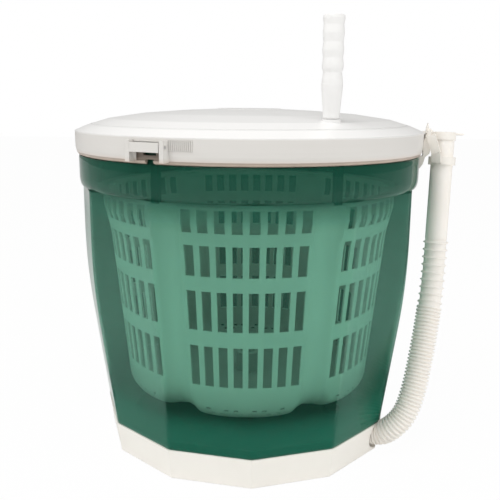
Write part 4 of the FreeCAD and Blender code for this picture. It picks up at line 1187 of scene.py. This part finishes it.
    def cells(self, columns: Sequence[tuple[float, float, bool]]) -> set[tuple[int, int]]:
        """Cells of the wall's grid that hold plastic: all but the slots and the holes in the foot.

        Args:
            columns: Columns round the basket.

        Returns:
            Column and row of each cell.
        """
        heights = self.heights()
        first_wall = len(self.floor_shares) + self.foot_steps + 1
        tall = first_wall + len(heights)
        open_rows = {row for row in range(len(heights) - 1)
                     for bottom, top in self.rows if bottom <= heights[row] < top and heights[row + 1] <= top}
        pierced = {(panel * (len(columns) // self.panels) + 3 * slot + step, 9 + 2 * ((slot + step) % 2))
                   for panel in range(self.panels) for slot in range(1, self.slots - 1) for step in (0, 1)}
        return {(column, row) for column in range(len(columns)) for row in range(tall - 1)
                if not (columns[column][2] and row - first_wall in open_rows) and (column, row) not in pierced}

    def wall_faces(self, cells: set[tuple[int, int]], count: int, tall: int) -> list[Face]:
        """Faces of both skins, and of the edges between them round every opening.

        Args:
            cells: Column and row of each cell that holds plastic.
            count: Columns round the basket.
            tall: Points of a column.

        Returns:
            The faces.
        """
        def spot(skin: int, column: int, row: int) -> int:
            """Number of a point of the grid."""
            return (skin * count + column % count) * tall + row

        faces: list[Face] = []
        for column, row in cells:
            around = ((column, row), (column + 1, row), (column + 1, row + 1), (column, row + 1))
            faces.append(tuple(spot(0, *corner) for corner in around))
            faces.append(tuple(spot(1, *corner) for corner in reversed(around)))
            low_left, low_right, high_right, high_left = around
            for neighbour, (first, last) in ((((column - 1) % count, row), (low_left, high_left)),
                                             (((column + 1) % count, row), (high_right, low_right)),
                                             ((column, row - 1), (low_right, low_left)),
                                             ((column, row + 1), (high_left, high_right))):
                if neighbour not in cells:
                    faces.append((spot(0, *first), spot(0, *last), spot(1, *last), spot(1, *first)))
        return faces

    def build(self, finishes: Finishes) -> bpy.types.Object:
        """Makes the basket with its slots, foot holes and hub.

        Args:
            finishes: The machine's finishes.

        Returns:
            The basket.
        """
        columns = self.columns()
        tall = len(self.column(0.0, False))
        points = []
        for inner in (False, True):
            for azimuth, local, _ in columns:
                way = outward(azimuth)
                points += [(way * radius + Vector((0, 0, height))) * MM
                           for radius, height in self.column(local, inner)]
        faces = self.wall_faces(self.cells(columns), len(columns), tall)
        base = len(points)
        hub, hub_faces = stitched(lathe([(self.hub_bore, self.hub_foot), (self.hub_radius, self.hub_foot),
                                         (self.hub_radius, self.hub_top - 1), (self.hub_radius - 1, self.hub_top),
                                         (self.hub_bore, self.hub_top)], self.hub_sides))
        points += hub
        faces += [tuple(base + index for index in face) for face in hub_faces]
        basket = as_object("slotted_basket", points, faces, smooth_angle=38)
        finishes.seat(basket, Slot.MILKY_BASKET, Body.BASKET, "basket_shell")
        LOG.info("basket: %d columns, %d rows", len(columns), tall)
        return basket


# ---- the rest
class CadDresser:
    """Gives each carried-over construction node its finish and soft shading."""

    def __init__(self, finishes: Finishes) -> None:
        """Keeps the finishes."""
        self.finishes = finishes

    def dress(self) -> None:
        """Dresses every node by its slot in the record."""
        slots = {item["node"]: item["material_slot"] for item in frame["record"]["subparts"]}
        for node, thing in frame["nodes"].items():
            self.finishes.dress(thing, Slot(slots[node]))
        LOG.info("dressed %d construction nodes", len(frame["nodes"]))


def main() -> None:
    """Builds the studio, then each sub-assembly in order."""
    logging.basicConfig(level=logging.INFO, format="%(name)s: %(message)s")
    Studio().build()
    finishes = Finishes()
    DrainHose().build(finishes)
    CadDresser(finishes).dress()
    Tub().build(finishes)
    Basket().build(finishes)


if __name__ == "__main__":
    main()
